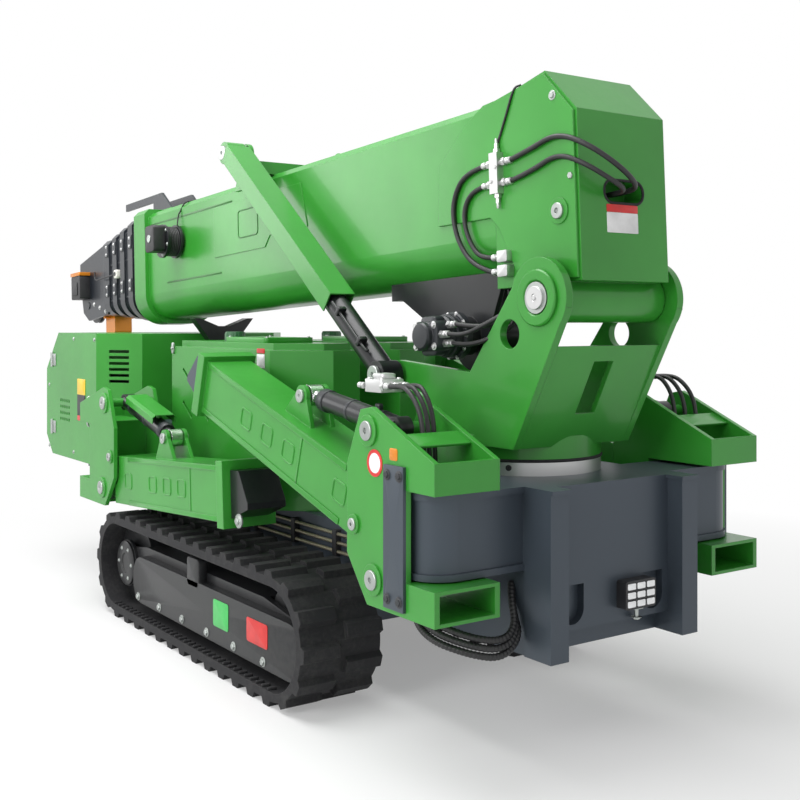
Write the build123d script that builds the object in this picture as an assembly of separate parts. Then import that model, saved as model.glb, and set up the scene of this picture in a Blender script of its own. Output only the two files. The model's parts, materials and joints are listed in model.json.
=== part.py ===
"""Compact crawler crane with folded outriggers, stowed for transport.

Millimetres. +X points to the slew end, +Z up, -Y is the right-hand side.
The origin lies on the ground, under the middle of the machine.
"""
from build123d import *
from math import atan2, cos, degrees, hypot, pi, radians, sin
import os

# Overall layout
HALF_LENGTH = 2614.0
RUN = 0.3
SAFE = 6.0
KING_BACK = 259.0
SLEW_BACK = 549.0
PIN_AHEAD = 398.0
KING_X_FRONT = HALF_LENGTH - KING_BACK
KING_X_REAR = -525.0
SLEW_X = HALF_LENGTH - SLEW_BACK
PIN_X = SLEW_X + PIN_AHEAD
PIN_Z = 1580.0
BOOM_TILT = 2.65

# Tracks
TRACK_OUT_Y = 775.0
TRACK_WIDTH = 356.0
TRACK_REAR_X = -455.0
TRACK_FRONT_X = 1725.0
TRACK_HEIGHT = 530.0
LUG_HEIGHT = 25.0
LUG_PITCH = 134.0
LUG_BASE = 74.0
LUG_TIP = 46.0
LUG_WIDTH = 160.0
LUG_ROOT = 6.0
LUG_ARC_DROP = 2.0
BELT_THICK = 35.0
WHEEL_WIDTH = 120.0
AXLE_R = 38.0
ROLLER_R = 55.0
ROLLER_COUNT = 5
FRAME_PLATE = 28.0
FRAME_BEAM_TOP = 375.0
FRAME_FORK_HALF = 78.0
HUB_R = 117.0
HUB_PROUD = 18.0

# Chassis
CHASSIS_HALF_W = 350.0
CHASSIS_LOW = 375.0
CHASSIS_DECK = 655.0
PEDESTAL_TOP = 945.0
PEDESTAL_REACH = 325.0
PEDESTAL_REAR_X = SLEW_X - PEDESTAL_REACH
PEDESTAL_BACK = 139.0
PEDESTAL_FRONT_X = HALF_LENGTH - PEDESTAL_BACK
CHASSIS_REAR_X = -760.0
POST_IN_Y = 276.0
POST_OUT_Y = 357.0
POST_CAP = 14.0
POST_CAP_LIP = 8.0
POST_PROUD = 77.0
END_PLATE_X = HALF_LENGTH - POST_PROUD
END_PLATE_LOW = 450.0
RECESS_WIDTH = 105.0
RECESS_HEIGHT = 135.0
RECESS_DEPTH = 30.0
RECESS_Y = 195.0
CROSS_BEAM_X = (250.0, 1250.0)
CROSS_BEAM_HALF = 70.0
CROSS_BEAM_LOW = 215.0
RAIL_Y = 290.0
RAIL_HALF = 45.0
RAIL_LOW = 560.0
HOOD_FLOOR = 670.0

# Kingpins and cheeks
KING_Y = 630.0
KING_R = 45.0
CHEEK_R = 120.0
CHEEK_LOW = 664.0
CHEEK_RIM = 9.0
CHEEK_RIM_HEIGHT = 22.0

# Engine end
HOOD_BACK = 759.0
HOOD_REAR_X = -HALF_LENGTH + HOOD_BACK
HOOD_FRONT_X = -715.0
HOOD_HALF_W = 600.0
HOOD_NOSE_HALF_W = 420.0
HOOD_FACET_X = -955.0
HOOD_TOP = 1430.0
HOOD_CUT = 230.0
HOOD_WALL = 16.0
SLOT_LENGTH = 130.0
SLOT_HEIGHT = 16.0
SLOT_PITCH = 34.0
SLOT_ROWS = 6
GRILLE_R = 11.0
GRILLE_PITCH = 38.0
GRILLE_ROWS = 4
GRILLE_COLUMNS = 5
ENGINE_SIZE = (620.0, 560.0, 520.0)
ENGINE_X = (HOOD_REAR_X + HOOD_FRONT_X) / 2

# Side tanks
TANK_REAR_X = -205.0
TANK_FRONT_X = 875.0
TANK_NOSE_X = 1075.0
TANK_OUT_Y = 460.0
TANK_NOSE_Y = 250.0
TANK_IN_Y = 110.0
TANK_TOP = 1400.0
TANK_LID = 30.0
TANK_LID_INSET = 40.0
TANK_SLOT_DEPTH = 20.0

# Boom rest
REST_BACK = 40.0
REST_X = KING_X_REAR - REST_BACK
REST_LENGTH = 70.0
REST_STEM_HALF = 70.0
REST_GAP = 20.0
REST_FORK_HEIGHT = 145.0
REST_TOP_HALF = 185.0
REST_DIP = 45.0

# Slew ring and turret
RING_R = 290.0
RING_BORE = 205.0
RING_SPLIT = 999.5
RING_GAP = 0.5
RING_TOP = 1050.0
TURRET_BASE = 1085.0
TURRET_OUT_Y = 285.0
TURRET_PLATE = 30.0
TURRET_REAR_REACH = 180.0
TURRET_FRONT_REACH = 270.0
TURRET_BASE_REAR = SLEW_X - TURRET_REAR_REACH
TURRET_BASE_FRONT = SLEW_X + TURRET_FRONT_REACH
TURRET_LUG_R = 140.0
TURRET_BACK_TOP = 1415.0
TURRET_BACK_PLATE = 24.0
TURRET_WINDOW = 95.0
TURRET_HOLE_R = 52.0
TURRET_HOLE_BACK = 148.0
TURRET_HOLE_X = PIN_X - TURRET_HOLE_BACK
TURRET_HOLE_Z = 1455.0

# Boom frame: s runs from the foot pin to the tip, n stands square to it
FOOT_PIN_R = 42.0
FOOT_TUBE_R = 85.0
PIN_HEAD = 12.0
BOOM_HALF_W = 210.0
BOOM_LOW = 98.0
BOOM_TOP = 742.0
BOOM_ROUND = 150.0
BOOM_CHAMFER = 30.0
BOOM_WALL = 10.0
SECTION_STEP = 20.0
BASE_START = 300.0
COLLAR_LENGTH = 170.0
COLLAR_PROUD = 26.0
SECTION_COUNT = 4
SECTION_START = 360.0
SECTION_EXPOSED = 190.0
SECTION_COLLAR = 70.0
SECTION_COLLAR_PROUD = 13.0
HEAD_TOP = 560.0
HEAD_LENGTH = 556.5
HEAD_TIP = (PIN_X + HALF_LENGTH - HEAD_TOP * sin(radians(BOOM_TILT))) / cos(radians(BOOM_TILT))
HEAD_START_S = HEAD_TIP - HEAD_LENGTH
BASE_END = HEAD_START_S - SECTION_COUNT * SECTION_EXPOSED
ROOT_REAR = -140.0
ROOT_LOW = 52.0
ROOT_REAR_TOP = 633.0
ROOT_PEAK_S = 12.0
ROOT_PEAK = 793.0
ROOT_SHOULDER = 270.0
HOSE_SLOT_WIDTH = 190.0
HOSE_SLOT_HEIGHT = 80.0
HOSE_SLOT_N = 360.0
HOSE_SLOT_DEPTH = 90.0
GUIDE_BEHIND = 310.0
GUIDE_AHEAD = 460.0
GUIDE_BACK = BASE_END - GUIDE_BEHIND
GUIDE_FRONT = BASE_END + GUIDE_AHEAD
GUIDE_TOP = 880.0
GUIDE_PLATE = 16.0
GUIDE_Y = 90.0

# Head, sheaves and hook
HEAD_PLATE_Y = 105.0
HEAD_PLATE = 18.0
HEAD_LOW = 150.0
SHEAVE_R = 120.0
SHEAVE_WIDTH = 36.0
SHEAVE_BACK = 166.5
SHEAVE_S = HEAD_TIP - SHEAVE_BACK
SHEAVE_N = 255.0
SHEAVE_AXLE_R = 25.0
HOOK_BACK = 416.5
HOOK_S = HEAD_TIP - HOOK_BACK

# Winch under the boom root
DRUM_S = 560.0
DRUM_N = -110.0
DRUM_R = 105.0
DRUM_FLANGE_R = 140.0
DRUM_HALF = 120.0
DRUM_AXLE_R = 30.0
WINCH_PLATE = 22.0
WINCH_HALF = 145.0
WINCH_FRONT = 1080.0
MOTOR_R = 75.0
MOTOR_LENGTH = 55.0

# Luffing cylinders
LUFF_Y = 350.0
LUFF_LEAN = 37.61
LUFF_EYE_S = 2141.0
LUFF_EYE_N = 850.0
LUFF_BARREL_R = 50.0
LUFF_BORE_R = 37.0
LUFF_ROD_R = 35.0
LUFF_EYE_R = 55.0
LUFF_EYE_HALF = 48.0
LUFF_PIN_R = 30.0
LUFF_BARREL_LENGTH = 1450.0
LUFF_CLOSED_GAP = 254.2
LUFF_ROD_LENGTH = 1380.0
LUFF_BORE_START = 290.0
GLAND = 40.0
GUARD_WALL = 6.0
GUARD_LENGTH = 1250.0
GUARD_SKIRT = 30.0
SADDLE_LENGTH = 240.0
SADDLE_HEIGHT = 60.0
SADDLE_LUG = 22.0

# Outrigger bracket, in its own frame: u along the folded arm, v outward
PLATE = 20.0
PLATE_OUT_V = 149.0
PLATE_IN_V = -114.0
BRACKET_FRONT_U = -184.0
BRACKET_EDGE_U = 325.0
BRACKET_NOTCH_U = -30.0
BRACKET_WEB_U = 132.0
BRACKET_LOW = 545.0
TUBE_TOP = 658.0
TUBE_WALL = 12.0
TUBE_END_U = 95.0
UPPER_LOW = 955.0
UPPER_FRONT_TOP = 1056.0
CYL_PIN_U = 190.0
CYL_LUG_R = 81.0
ARM_PIN_U = 160.0
ARM_PIN_R = 30.0
ARM_PIN_Z = 635.0

# Outrigger arms; a folded rear arm ends this far from the front kingpin
REAR_ARM_BACK = 1470.0
FRONT_PITCH = 16.2
FRONT_DROP = 35.0
FRONT_ARM_LOW = 60.0
FRONT_ARM_HIGH = 289.0
FRONT_ARM_LENGTH = 1540.0
FRONT_CYL_PIN_Z = 1132.0
FRONT_EYE_S = 756.0
FRONT_EYE_W = 383.0
REAR_PITCH = 3.7
REAR_DROP = 21.2
REAR_ARM_LOW = -75.0
REAR_ARM_HIGH = 165.0
REAR_ARM_LENGTH = KING_X_FRONT - KING_X_REAR - REAR_ARM_BACK
REAR_CYL_PIN_Z = 1076.0
REAR_EYE_S = 638.0
REAR_EYE_W = 262.0
ARM_HALF_W = 102.5
ARM_WALL = 12.0
ARM_START = 112.0
ARM_LUG_R = 42.0
ARM_LUG_HALF = 80.0
ARM_COLLAR = 60.0
ARM_COLLAR_PROUD = 22.0
BEAM_GAP = 7.0
BEAM_START = 260.0
EYE_R = 42.0
EYE_HALF = 28.0
LUG_PLATE = 18.0
LUG_GAP = 8.0
CYL_R = 40.0
CYL_BORE_R = 27.0
CYL_ROD_R = 25.0
CYL_PIN_R = 22.0
FOOT_LENGTH = 150.0
FOOT_PAD = 26.0


class Outrigger:
    """Sizes that differ between the slew-end and the engine-end outriggers."""

    def __init__(self, king_x, heading, pitch, drop, low, high, length, cyl_pin_z, eye_s, eye_w):
        self.king_x = king_x
        self.heading = heading
        self.pitch = pitch
        self.drop = drop
        self.low = low
        self.high = high
        self.length = length
        self.cyl_pin_z = cyl_pin_z
        self.eye_s = eye_s
        self.eye_w = eye_w

    def arm_point(self, s, w, pitch):
        """Place of an arm point (s along, w square to it) in the u, z plane."""
        turn = radians(pitch)
        u = ARM_PIN_U + s * cos(turn) - w * sin(turn)
        z = ARM_PIN_Z + s * sin(turn) + w * cos(turn)
        return u, z

    def cylinder(self, pitch):
        """Length and slope (degrees) of the cylinder at an arm pitch."""
        u, z = self.arm_point(self.eye_s, self.eye_w, pitch)
        return hypot(u - CYL_PIN_U, z - self.cyl_pin_z), degrees(atan2(z - self.cyl_pin_z, u - CYL_PIN_U))


FRONT = Outrigger(
    king_x=KING_X_FRONT,
    heading=-1,
    pitch=FRONT_PITCH,
    drop=FRONT_DROP,
    low=FRONT_ARM_LOW,
    high=FRONT_ARM_HIGH,
    length=FRONT_ARM_LENGTH,
    cyl_pin_z=FRONT_CYL_PIN_Z,
    eye_s=FRONT_EYE_S,
    eye_w=FRONT_EYE_W,
)
REAR = Outrigger(
    king_x=KING_X_REAR,
    heading=1,
    pitch=REAR_PITCH,
    drop=REAR_DROP,
    low=REAR_ARM_LOW,
    high=REAR_ARM_HIGH,
    length=REAR_ARM_LENGTH,
    cyl_pin_z=REAR_CYL_PIN_Z,
    eye_s=REAR_EYE_S,
    eye_w=REAR_EYE_W,
)


def block(x, y, z):
    """Box between two limits on each axis."""
    size = Box(x[1] - x[0], y[1] - y[0], z[1] - z[0])
    return Pos((x[0] + x[1]) / 2, (y[0] + y[1]) / 2, (z[0] + z[1]) / 2) * size


def plate_xz(points, y_low, y_high):
    """Plate with an outline in the XZ plane, between two Y values."""
    outline = Polyline(*[(x, y_low, z) for x, z in points], close=True)
    return extrude(make_face(outline), amount=y_high - y_low, dir=(0, 1, 0))


def plate_xy(points, z_low, z_high):
    """Plate with an outline in the XY plane, between two Z values."""
    outline = Polyline(*[(x, y, z_low) for x, y in points], close=True)
    return extrude(make_face(outline), amount=z_high - z_low, dir=(0, 0, 1))


def rod_y(x, z, radius, y_low, y_high):
    """Round bar along Y."""
    return Pos(x, (y_low + y_high) / 2, z) * Rot(90, 0, 0) * Cylinder(radius, y_high - y_low)


def rod_x(x_low, x_high, y, z, radius):
    """Round bar along X."""
    return Pos((x_low + x_high) / 2, y, z) * Rot(0, 90, 0) * Cylinder(radius, x_high - x_low)


def rod_z(x, y, radius, z_low, z_high):
    """Round bar along Z."""
    return Pos(x, y, (z_low + z_high) / 2) * Cylinder(radius, z_high - z_low)


def left_of(solid):
    """The same piece on the other side of the machine."""
    return mirror(solid, about=Plane.XZ)


# Tracks, drawn for the right-hand side
TRACK_R = TRACK_HEIGHT / 2
TRACK_X0 = TRACK_REAR_X + TRACK_R
TRACK_X1 = TRACK_FRONT_X - TRACK_R
TRACK_Y = -(TRACK_OUT_Y - TRACK_WIDTH / 2)
BELT_OUT_R = TRACK_R - LUG_HEIGHT
BELT_IN_R = BELT_OUT_R - BELT_THICK


def loop_plate(radius, width):
    """Long round-ended plate around both end wheels."""
    run = TRACK_X1 - TRACK_X0
    outline = Plane.XZ * SlotCenterToCenter(run, 2 * radius)
    centre = ((TRACK_X0 + TRACK_X1) / 2, TRACK_Y + width / 2, TRACK_R)
    return Pos(*centre) * extrude(outline, amount=width)


def track_lug(column):
    """One tapered lug, its root in the belt's surface at the origin."""
    half_root = LUG_BASE / 2
    half_tip = LUG_TIP / 2
    outline = [(-half_root, -LUG_ROOT), (half_root, -LUG_ROOT), (half_tip, LUG_HEIGHT), (-half_tip, LUG_HEIGHT)]
    middle = TRACK_Y + column * (TRACK_WIDTH - LUG_WIDTH) / 2
    return plate_xz(outline, middle - LUG_WIDTH / 2, middle + LUG_WIDTH / 2)


def lug_place(travel):
    """Place of a lug after some travel along the belt's surface."""
    run = TRACK_X1 - TRACK_X0
    arc = pi * BELT_OUT_R
    if travel < run:
        return Pos(TRACK_X0 + travel, 0, TRACK_R + BELT_OUT_R)
    if travel < run + arc:
        turn = degrees((travel - run) / BELT_OUT_R)
        return Pos(TRACK_X1, 0, TRACK_R) * Rot(0, turn, 0) * Pos(0, 0, BELT_OUT_R - LUG_ARC_DROP)
    if travel < 2 * run + arc:
        return Pos(TRACK_X1 - (travel - run - arc), 0, TRACK_R - BELT_OUT_R) * Rot(0, 180, 0)
    turn = 180 + degrees((travel - 2 * run - arc) / BELT_OUT_R)
    return Pos(TRACK_X0, 0, TRACK_R) * Rot(0, turn, 0) * Pos(0, 0, BELT_OUT_R - LUG_ARC_DROP)


def track_belt():
    """Rubber loop with two staggered columns of lugs."""
    belt = loop_plate(BELT_OUT_R, TRACK_WIDTH) - loop_plate(BELT_IN_R, TRACK_WIDTH)
    length = 2 * (TRACK_X1 - TRACK_X0) + 2 * pi * BELT_OUT_R
    count = round(length / LUG_PITCH)
    step = length / count
    lugs = []
    for column in (-1, 1):
        lug = track_lug(column)
        lugs += [lug_place((i + (column + 1) / 4 + 0.25) * step) * lug for i in range(count)]
    return belt + lugs


def roller_centres():
    """Places of the ground rollers along the track."""
    first = TRACK_X0 + BELT_IN_R + 1.4 * ROLLER_R
    last = TRACK_X1 - BELT_IN_R - 1.4 * ROLLER_R
    step = (last - first) / (ROLLER_COUNT - 1)
    return [first + i * step for i in range(ROLLER_COUNT)]


ROLLER_Z = TRACK_R - BELT_IN_R + RUN + ROLLER_R


def track_wheels():
    """Sprocket, idler and ground rollers, turning on the frame's axles."""
    half = WHEEL_WIDTH / 2
    wheels = []
    for x in (TRACK_X0, TRACK_X1):
        disc = rod_y(x, TRACK_R, BELT_IN_R - RUN, TRACK_Y - half, TRACK_Y + half)
        wheels.append(disc - rod_y(x, TRACK_R, AXLE_R + RUN, TRACK_Y - half, TRACK_Y + half))
    for x in roller_centres():
        disc = rod_y(x, ROLLER_Z, ROLLER_R, TRACK_Y - half, TRACK_Y + half)
        wheels.append(disc - rod_y(x, ROLLER_Z, AXLE_R / 2 + RUN, TRACK_Y - half, TRACK_Y + half))
    return Compound(children=wheels)


FRAME_SIDE_IN = WHEEL_WIDTH / 2 + SAFE
FRAME_SIDE_OUT = FRAME_SIDE_IN + FRAME_PLATE


def track_frame():
    """Box beam between two side plates, with the wheels' axles and the drive hub."""
    rollers = roller_centres()
    beam_low = ROLLER_Z + ROLLER_R + SAFE
    beam_x = (TRACK_X0 + BELT_IN_R + SAFE, TRACK_X1 - BELT_IN_R - SAFE)
    beam = block(beam_x, (TRACK_Y - FRAME_SIDE_OUT, TRACK_Y + FRAME_SIDE_OUT), (beam_low, FRAME_BEAM_TOP))
    fork = TRACK_R - FRAME_FORK_HALF
    outline = [
        (TRACK_X0, fork),
        (rollers[0], ROLLER_Z - AXLE_R / 2),
        (rollers[-1], ROLLER_Z - AXLE_R / 2),
        (TRACK_X1, fork),
        (TRACK_X1, TRACK_R + FRAME_FORK_HALF),
        (beam_x[1], FRAME_BEAM_TOP),
        (beam_x[0], FRAME_BEAM_TOP),
        (TRACK_X0, TRACK_R + FRAME_FORK_HALF),
    ]
    frame = beam
    for low, high in ((-FRAME_SIDE_OUT, -FRAME_SIDE_IN), (FRAME_SIDE_IN, FRAME_SIDE_OUT)):
        side = plate_xz(outline, TRACK_Y + low, TRACK_Y + high)
        for x in (TRACK_X0, TRACK_X1):
            side += rod_y(x, TRACK_R, FRAME_FORK_HALF, TRACK_Y + low, TRACK_Y + high)
        frame += side
    for x in (TRACK_X0, TRACK_X1):
        frame += rod_y(x, TRACK_R, AXLE_R, TRACK_Y - FRAME_SIDE_OUT, TRACK_Y + FRAME_SIDE_OUT)
    for x in rollers:
        frame += rod_y(x, ROLLER_Z, AXLE_R / 2, TRACK_Y - FRAME_SIDE_OUT, TRACK_Y + FRAME_SIDE_OUT)
    hub_face = TRACK_Y - FRAME_SIDE_OUT
    frame += rod_y(TRACK_X0, TRACK_R, HUB_R, hub_face - HUB_PROUD, hub_face)
    return frame


# Chassis
def cheek(king_x):
    """Round-ended arm that carries one kingpin, with a raised rim at both edges."""
    arm = block((king_x - CHEEK_R, king_x + CHEEK_R), (-KING_Y, 0), (CHEEK_LOW, PEDESTAL_TOP))
    arm += rod_z(king_x, -KING_Y, CHEEK_R, CHEEK_LOW, PEDESTAL_TOP)
    waist = (CHEEK_LOW + CHEEK_RIM_HEIGHT, PEDESTAL_TOP - CHEEK_RIM_HEIGHT)
    inner = CHEEK_R - CHEEK_RIM
    cut = rod_z(king_x, -KING_Y, CHEEK_R + 1, *waist) - rod_z(king_x, -KING_Y, inner, *waist)
    cut -= block((king_x - CHEEK_R, king_x + CHEEK_R), (-KING_Y, -KING_Y + CHEEK_R + 1), waist)
    arm -= cut
    for side in (-1, 1):
        wall = king_x + side * inner
        edge = king_x + side * (CHEEK_R + 1)
        arm -= block((min(wall, edge), max(wall, edge)), (-KING_Y, -CHASSIS_HALF_W - SAFE), waist)
    return arm - rod_z(king_x, -KING_Y, KING_R + RUN, CHEEK_LOW, PEDESTAL_TOP)


def end_recess(y):
    """Pocket with a round bottom in the end plate."""
    radius = RECESS_WIDTH / 2
    low = END_PLATE_LOW + radius + 20
    depth = (END_PLATE_X - RECESS_DEPTH, END_PLATE_X)
    pocket = block(depth, (y - radius, y + radius), (low, low + RECESS_HEIGHT - radius))
    return pocket + rod_x(depth[0], depth[1], y, low, radius)


def chassis_frame():
    """Main beam, pedestal, cheeks, end plate, posts, cross beams and engine rails."""
    half = CHASSIS_HALF_W
    frame = block((CHASSIS_REAR_X, PEDESTAL_FRONT_X), (-half, half), (CHASSIS_LOW, CHASSIS_DECK))
    frame += block((PEDESTAL_REAR_X, PEDESTAL_FRONT_X), (-half, half), (CHASSIS_DECK, PEDESTAL_TOP))
    frame += block((KING_X_REAR - CHEEK_R, KING_X_REAR + CHEEK_R), (-half, half), (CHASSIS_DECK, PEDESTAL_TOP))
    frame += block((PEDESTAL_FRONT_X, END_PLATE_X), (-POST_IN_Y, POST_IN_Y), (END_PLATE_LOW, PEDESTAL_TOP))
    for side in (-1, 1):
        frame -= end_recess(side * RECESS_Y)
    for king_x in (KING_X_FRONT, KING_X_REAR):
        frame += [cheek(king_x), left_of(cheek(king_x))]
    post = block((PEDESTAL_FRONT_X, HALF_LENGTH - POST_CAP_LIP), (POST_IN_Y, POST_OUT_Y), (CHASSIS_LOW, PEDESTAL_TOP))
    cap = block(
        (PEDESTAL_FRONT_X, HALF_LENGTH),
        (POST_IN_Y - POST_CAP_LIP, POST_OUT_Y),
        (PEDESTAL_TOP - POST_CAP, PEDESTAL_TOP),
    )
    frame += [post, cap, left_of(post), left_of(cap)]
    reach = -TRACK_Y - FRAME_SIDE_OUT
    for x in CROSS_BEAM_X:
        span = (x - CROSS_BEAM_HALF, x + CROSS_BEAM_HALF)
        frame += block(span, (-reach, reach), (CROSS_BEAM_LOW, FRAME_BEAM_TOP))
        frame += block(span, (-half, half), (FRAME_BEAM_TOP - 1, CHASSIS_LOW + 1))
    for side in (-1, 1):
        rail_y = (side * RAIL_Y - RAIL_HALF, side * RAIL_Y + RAIL_HALF)
        frame += block((HOOD_REAR_X + HOOD_WALL, CHASSIS_REAR_X), rail_y, (RAIL_LOW, CHASSIS_DECK))
    return frame


# Engine end
def hood_shape(inset):
    """Octagonal hood body, drawn in by one wall."""
    low = HOOD_FLOOR if inset == 0 else HOOD_FLOOR - 1
    top = HOOD_TOP - inset
    rear = HOOD_REAR_X + inset
    front = HOOD_FRONT_X - inset
    side = HOOD_HALF_W - inset
    profile = [
        (rear, HOOD_FLOOR + HOOD_CUT / 2),
        (rear + HOOD_CUT / 2, low),
        (front, low),
        (front, top),
        (rear + HOOD_CUT, top),
        (rear, top - HOOD_CUT),
    ]
    plan = [
        (rear, -side),
        (HOOD_FACET_X, -side),
        (front, -HOOD_NOSE_HALF_W + inset / 2),
        (front, HOOD_NOSE_HALF_W - inset / 2),
        (HOOD_FACET_X, side),
        (rear, side),
    ]
    return plate_xz(profile, -side, side) & plate_xy(plan, low, top)


def facet_slots():
    """Rows of level slots through one slanted corner of the hood."""
    length = hypot(HOOD_FRONT_X - HOOD_FACET_X, HOOD_HALF_W - HOOD_NOSE_HALF_W)
    turn = degrees(atan2(HOOD_HALF_W - HOOD_NOSE_HALF_W, HOOD_FRONT_X - HOOD_FACET_X))
    middle = ((HOOD_FACET_X + HOOD_FRONT_X) / 2, -(HOOD_HALF_W + HOOD_NOSE_HALF_W) / 2)
    cut = Box(min(SLOT_LENGTH, length / 2), 4 * HOOD_WALL, SLOT_HEIGHT)
    first = HOOD_TOP - 3 * SLOT_PITCH
    return [Pos(*middle, first - i * SLOT_PITCH) * Rot(0, 0, turn) * cut for i in range(SLOT_ROWS)]


def side_grille():
    """Grid of round holes through one flat side of the hood."""
    first_x = HOOD_REAR_X + 1.2 * HOOD_CUT
    first_z = HOOD_FLOOR + HOOD_CUT
    holes = []
    for column in range(GRILLE_COLUMNS):
        for row in range(GRILLE_ROWS):
            place = (first_x + column * GRILLE_PITCH, first_z + row * GRILLE_PITCH)
            holes.append(rod_y(*place, GRILLE_R, -HOOD_HALF_W - 1, -HOOD_HALF_W + 2 * HOOD_WALL))
    return holes


def engine_hood():
    """Sheet hood, open below, with its vents cut."""
    shell = hood_shape(0) - hood_shape(HOOD_WALL)
    slots = facet_slots()
    holes = side_grille()
    shell -= slots + [left_of(slot) for slot in slots]
    shell -= holes + [left_of(hole) for hole in holes]
    feet = []
    for side in (-1, 1):
        rail_y = (side * RAIL_Y - RAIL_HALF, side * RAIL_Y + RAIL_HALF)
        for x in (HOOD_REAR_X + HOOD_CUT / 2, HOOD_FRONT_X - 2 * HOOD_WALL):
            feet.append(block((x, x + 2 * HOOD_WALL), rail_y, (CHASSIS_DECK, HOOD_FLOOR + HOOD_WALL)))
    return shell + feet


def engine_block():
    """Plain mass of the power unit, standing on the rails."""
    length, width, height = ENGINE_SIZE
    return block(
        (ENGINE_X - length / 2, ENGINE_X + length / 2),
        (-width / 2 - RAIL_HALF, width / 2 + RAIL_HALF),
        (CHASSIS_DECK, CHASSIS_DECK + height),
    )


def side_tank():
    """Tapered box beside the boom line, with slanted slots and a stepped lid."""
    plan = [
        (TANK_REAR_X, -TANK_OUT_Y),
        (TANK_FRONT_X, -TANK_OUT_Y),
        (TANK_NOSE_X, -TANK_NOSE_Y),
        (TANK_NOSE_X, -TANK_IN_Y),
        (TANK_REAR_X, -TANK_IN_Y),
    ]
    tank = plate_xy(plan, CHASSIS_DECK, TANK_TOP - TANK_LID)
    lid = [
        (TANK_REAR_X + TANK_LID_INSET, -TANK_OUT_Y + TANK_LID_INSET),
        (TANK_FRONT_X - TANK_LID_INSET, -TANK_OUT_Y + TANK_LID_INSET),
        (TANK_NOSE_X - 2 * TANK_LID_INSET, -TANK_NOSE_Y),
        (TANK_NOSE_X - 2 * TANK_LID_INSET, -TANK_IN_Y),
        (TANK_REAR_X + TANK_LID_INSET, -TANK_IN_Y),
    ]
    tank += plate_xy(lid, TANK_TOP - TANK_LID, TANK_TOP)
    slot = Rot(0, 35, 0) * Box(SLOT_LENGTH, 2 * TANK_SLOT_DEPTH, SLOT_HEIGHT)
    for column in range(4):
        for row in range(2):
            x = TANK_REAR_X + 1.5 * SLOT_LENGTH + column * 1.5 * SLOT_LENGTH
            z = TANK_TOP - 1.4 * SLOT_LENGTH - row * 1.3 * SLOT_LENGTH
            tank -= Pos(x, -TANK_OUT_Y, z) * slot
    return tank


def boom_rest():
    """Forked column that the lowered boom lies above."""
    half = REST_STEM_HALF
    tilt = radians(BOOM_TILT)
    underside = PIN_Z + BOOM_LOW / cos(tilt) - (PIN_X - REST_X) * sin(tilt) / cos(tilt)
    top = underside - REST_GAP
    outline = [
        (-half, PEDESTAL_TOP),
        (half, PEDESTAL_TOP),
        (half, top - REST_FORK_HEIGHT),
        (REST_TOP_HALF, top),
        (REST_TOP_HALF - half / 2, top),
        (half / 2, top - REST_DIP),
        (-half / 2, top - REST_DIP),
        (-REST_TOP_HALF + half / 2, top),
        (-REST_TOP_HALF, top),
        (-half, top - REST_FORK_HEIGHT),
    ]
    low_x = REST_X - REST_LENGTH / 2
    outline = Polyline(*[(low_x, y, z) for y, z in outline], close=True)
    return extrude(make_face(outline), amount=REST_LENGTH, dir=(1, 0, 0))


def slew_ring():
    """Fixed half of the slewing bearing."""
    ring = rod_z(SLEW_X, 0, RING_R, PEDESTAL_TOP, RING_SPLIT)
    return ring - rod_z(SLEW_X, 0, RING_BORE, PEDESTAL_TOP, RING_SPLIT)


LAMP_Y = 90.0
LAMP_Z = 545.0
LAMP_SIZE = (45.0, 150.0, 100.0)


def work_lamp():
    """Work lamp with its cells, on a short bracket under the end plate's middle."""
    depth, width, height = LAMP_SIZE
    face_x = END_PLATE_X + depth
    lamp = block((END_PLATE_X, face_x), (LAMP_Y - width / 2, LAMP_Y + width / 2), (LAMP_Z - height / 2, LAMP_Z + height / 2))
    lamp = fillet(lamp.edges().filter_by(Axis.X), height / 8)
    cell = width / 4.2
    for column in (-1, 0, 1):
        for row in (-1, 0, 1):
            place = (LAMP_Y + column * width / 3.4, LAMP_Z + row * height / 3.4)
            lamp -= block((face_x - 6, face_x), (place[0] - cell / 2, place[0] + cell / 2), (place[1] - 12, place[1] + 12))
    return lamp


# Boom frame and the luffing cylinders' foot pivot, which the turret carries
BOOM = Pos(PIN_X, 0, PIN_Z) * Rot(0, -BOOM_TILT, 0)
LUFF_EYE = BOOM * Pos(-LUFF_EYE_S, 0, LUFF_EYE_N)
LUFF_LENGTH = LUFF_BARREL_LENGTH + LUFF_CLOSED_GAP
LUFF_FOOT_X = LUFF_EYE.position.X + LUFF_LENGTH * cos(radians(LUFF_LEAN))
LUFF_FOOT_Z = LUFF_EYE.position.Z - LUFF_LENGTH * sin(radians(LUFF_LEAN))


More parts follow.
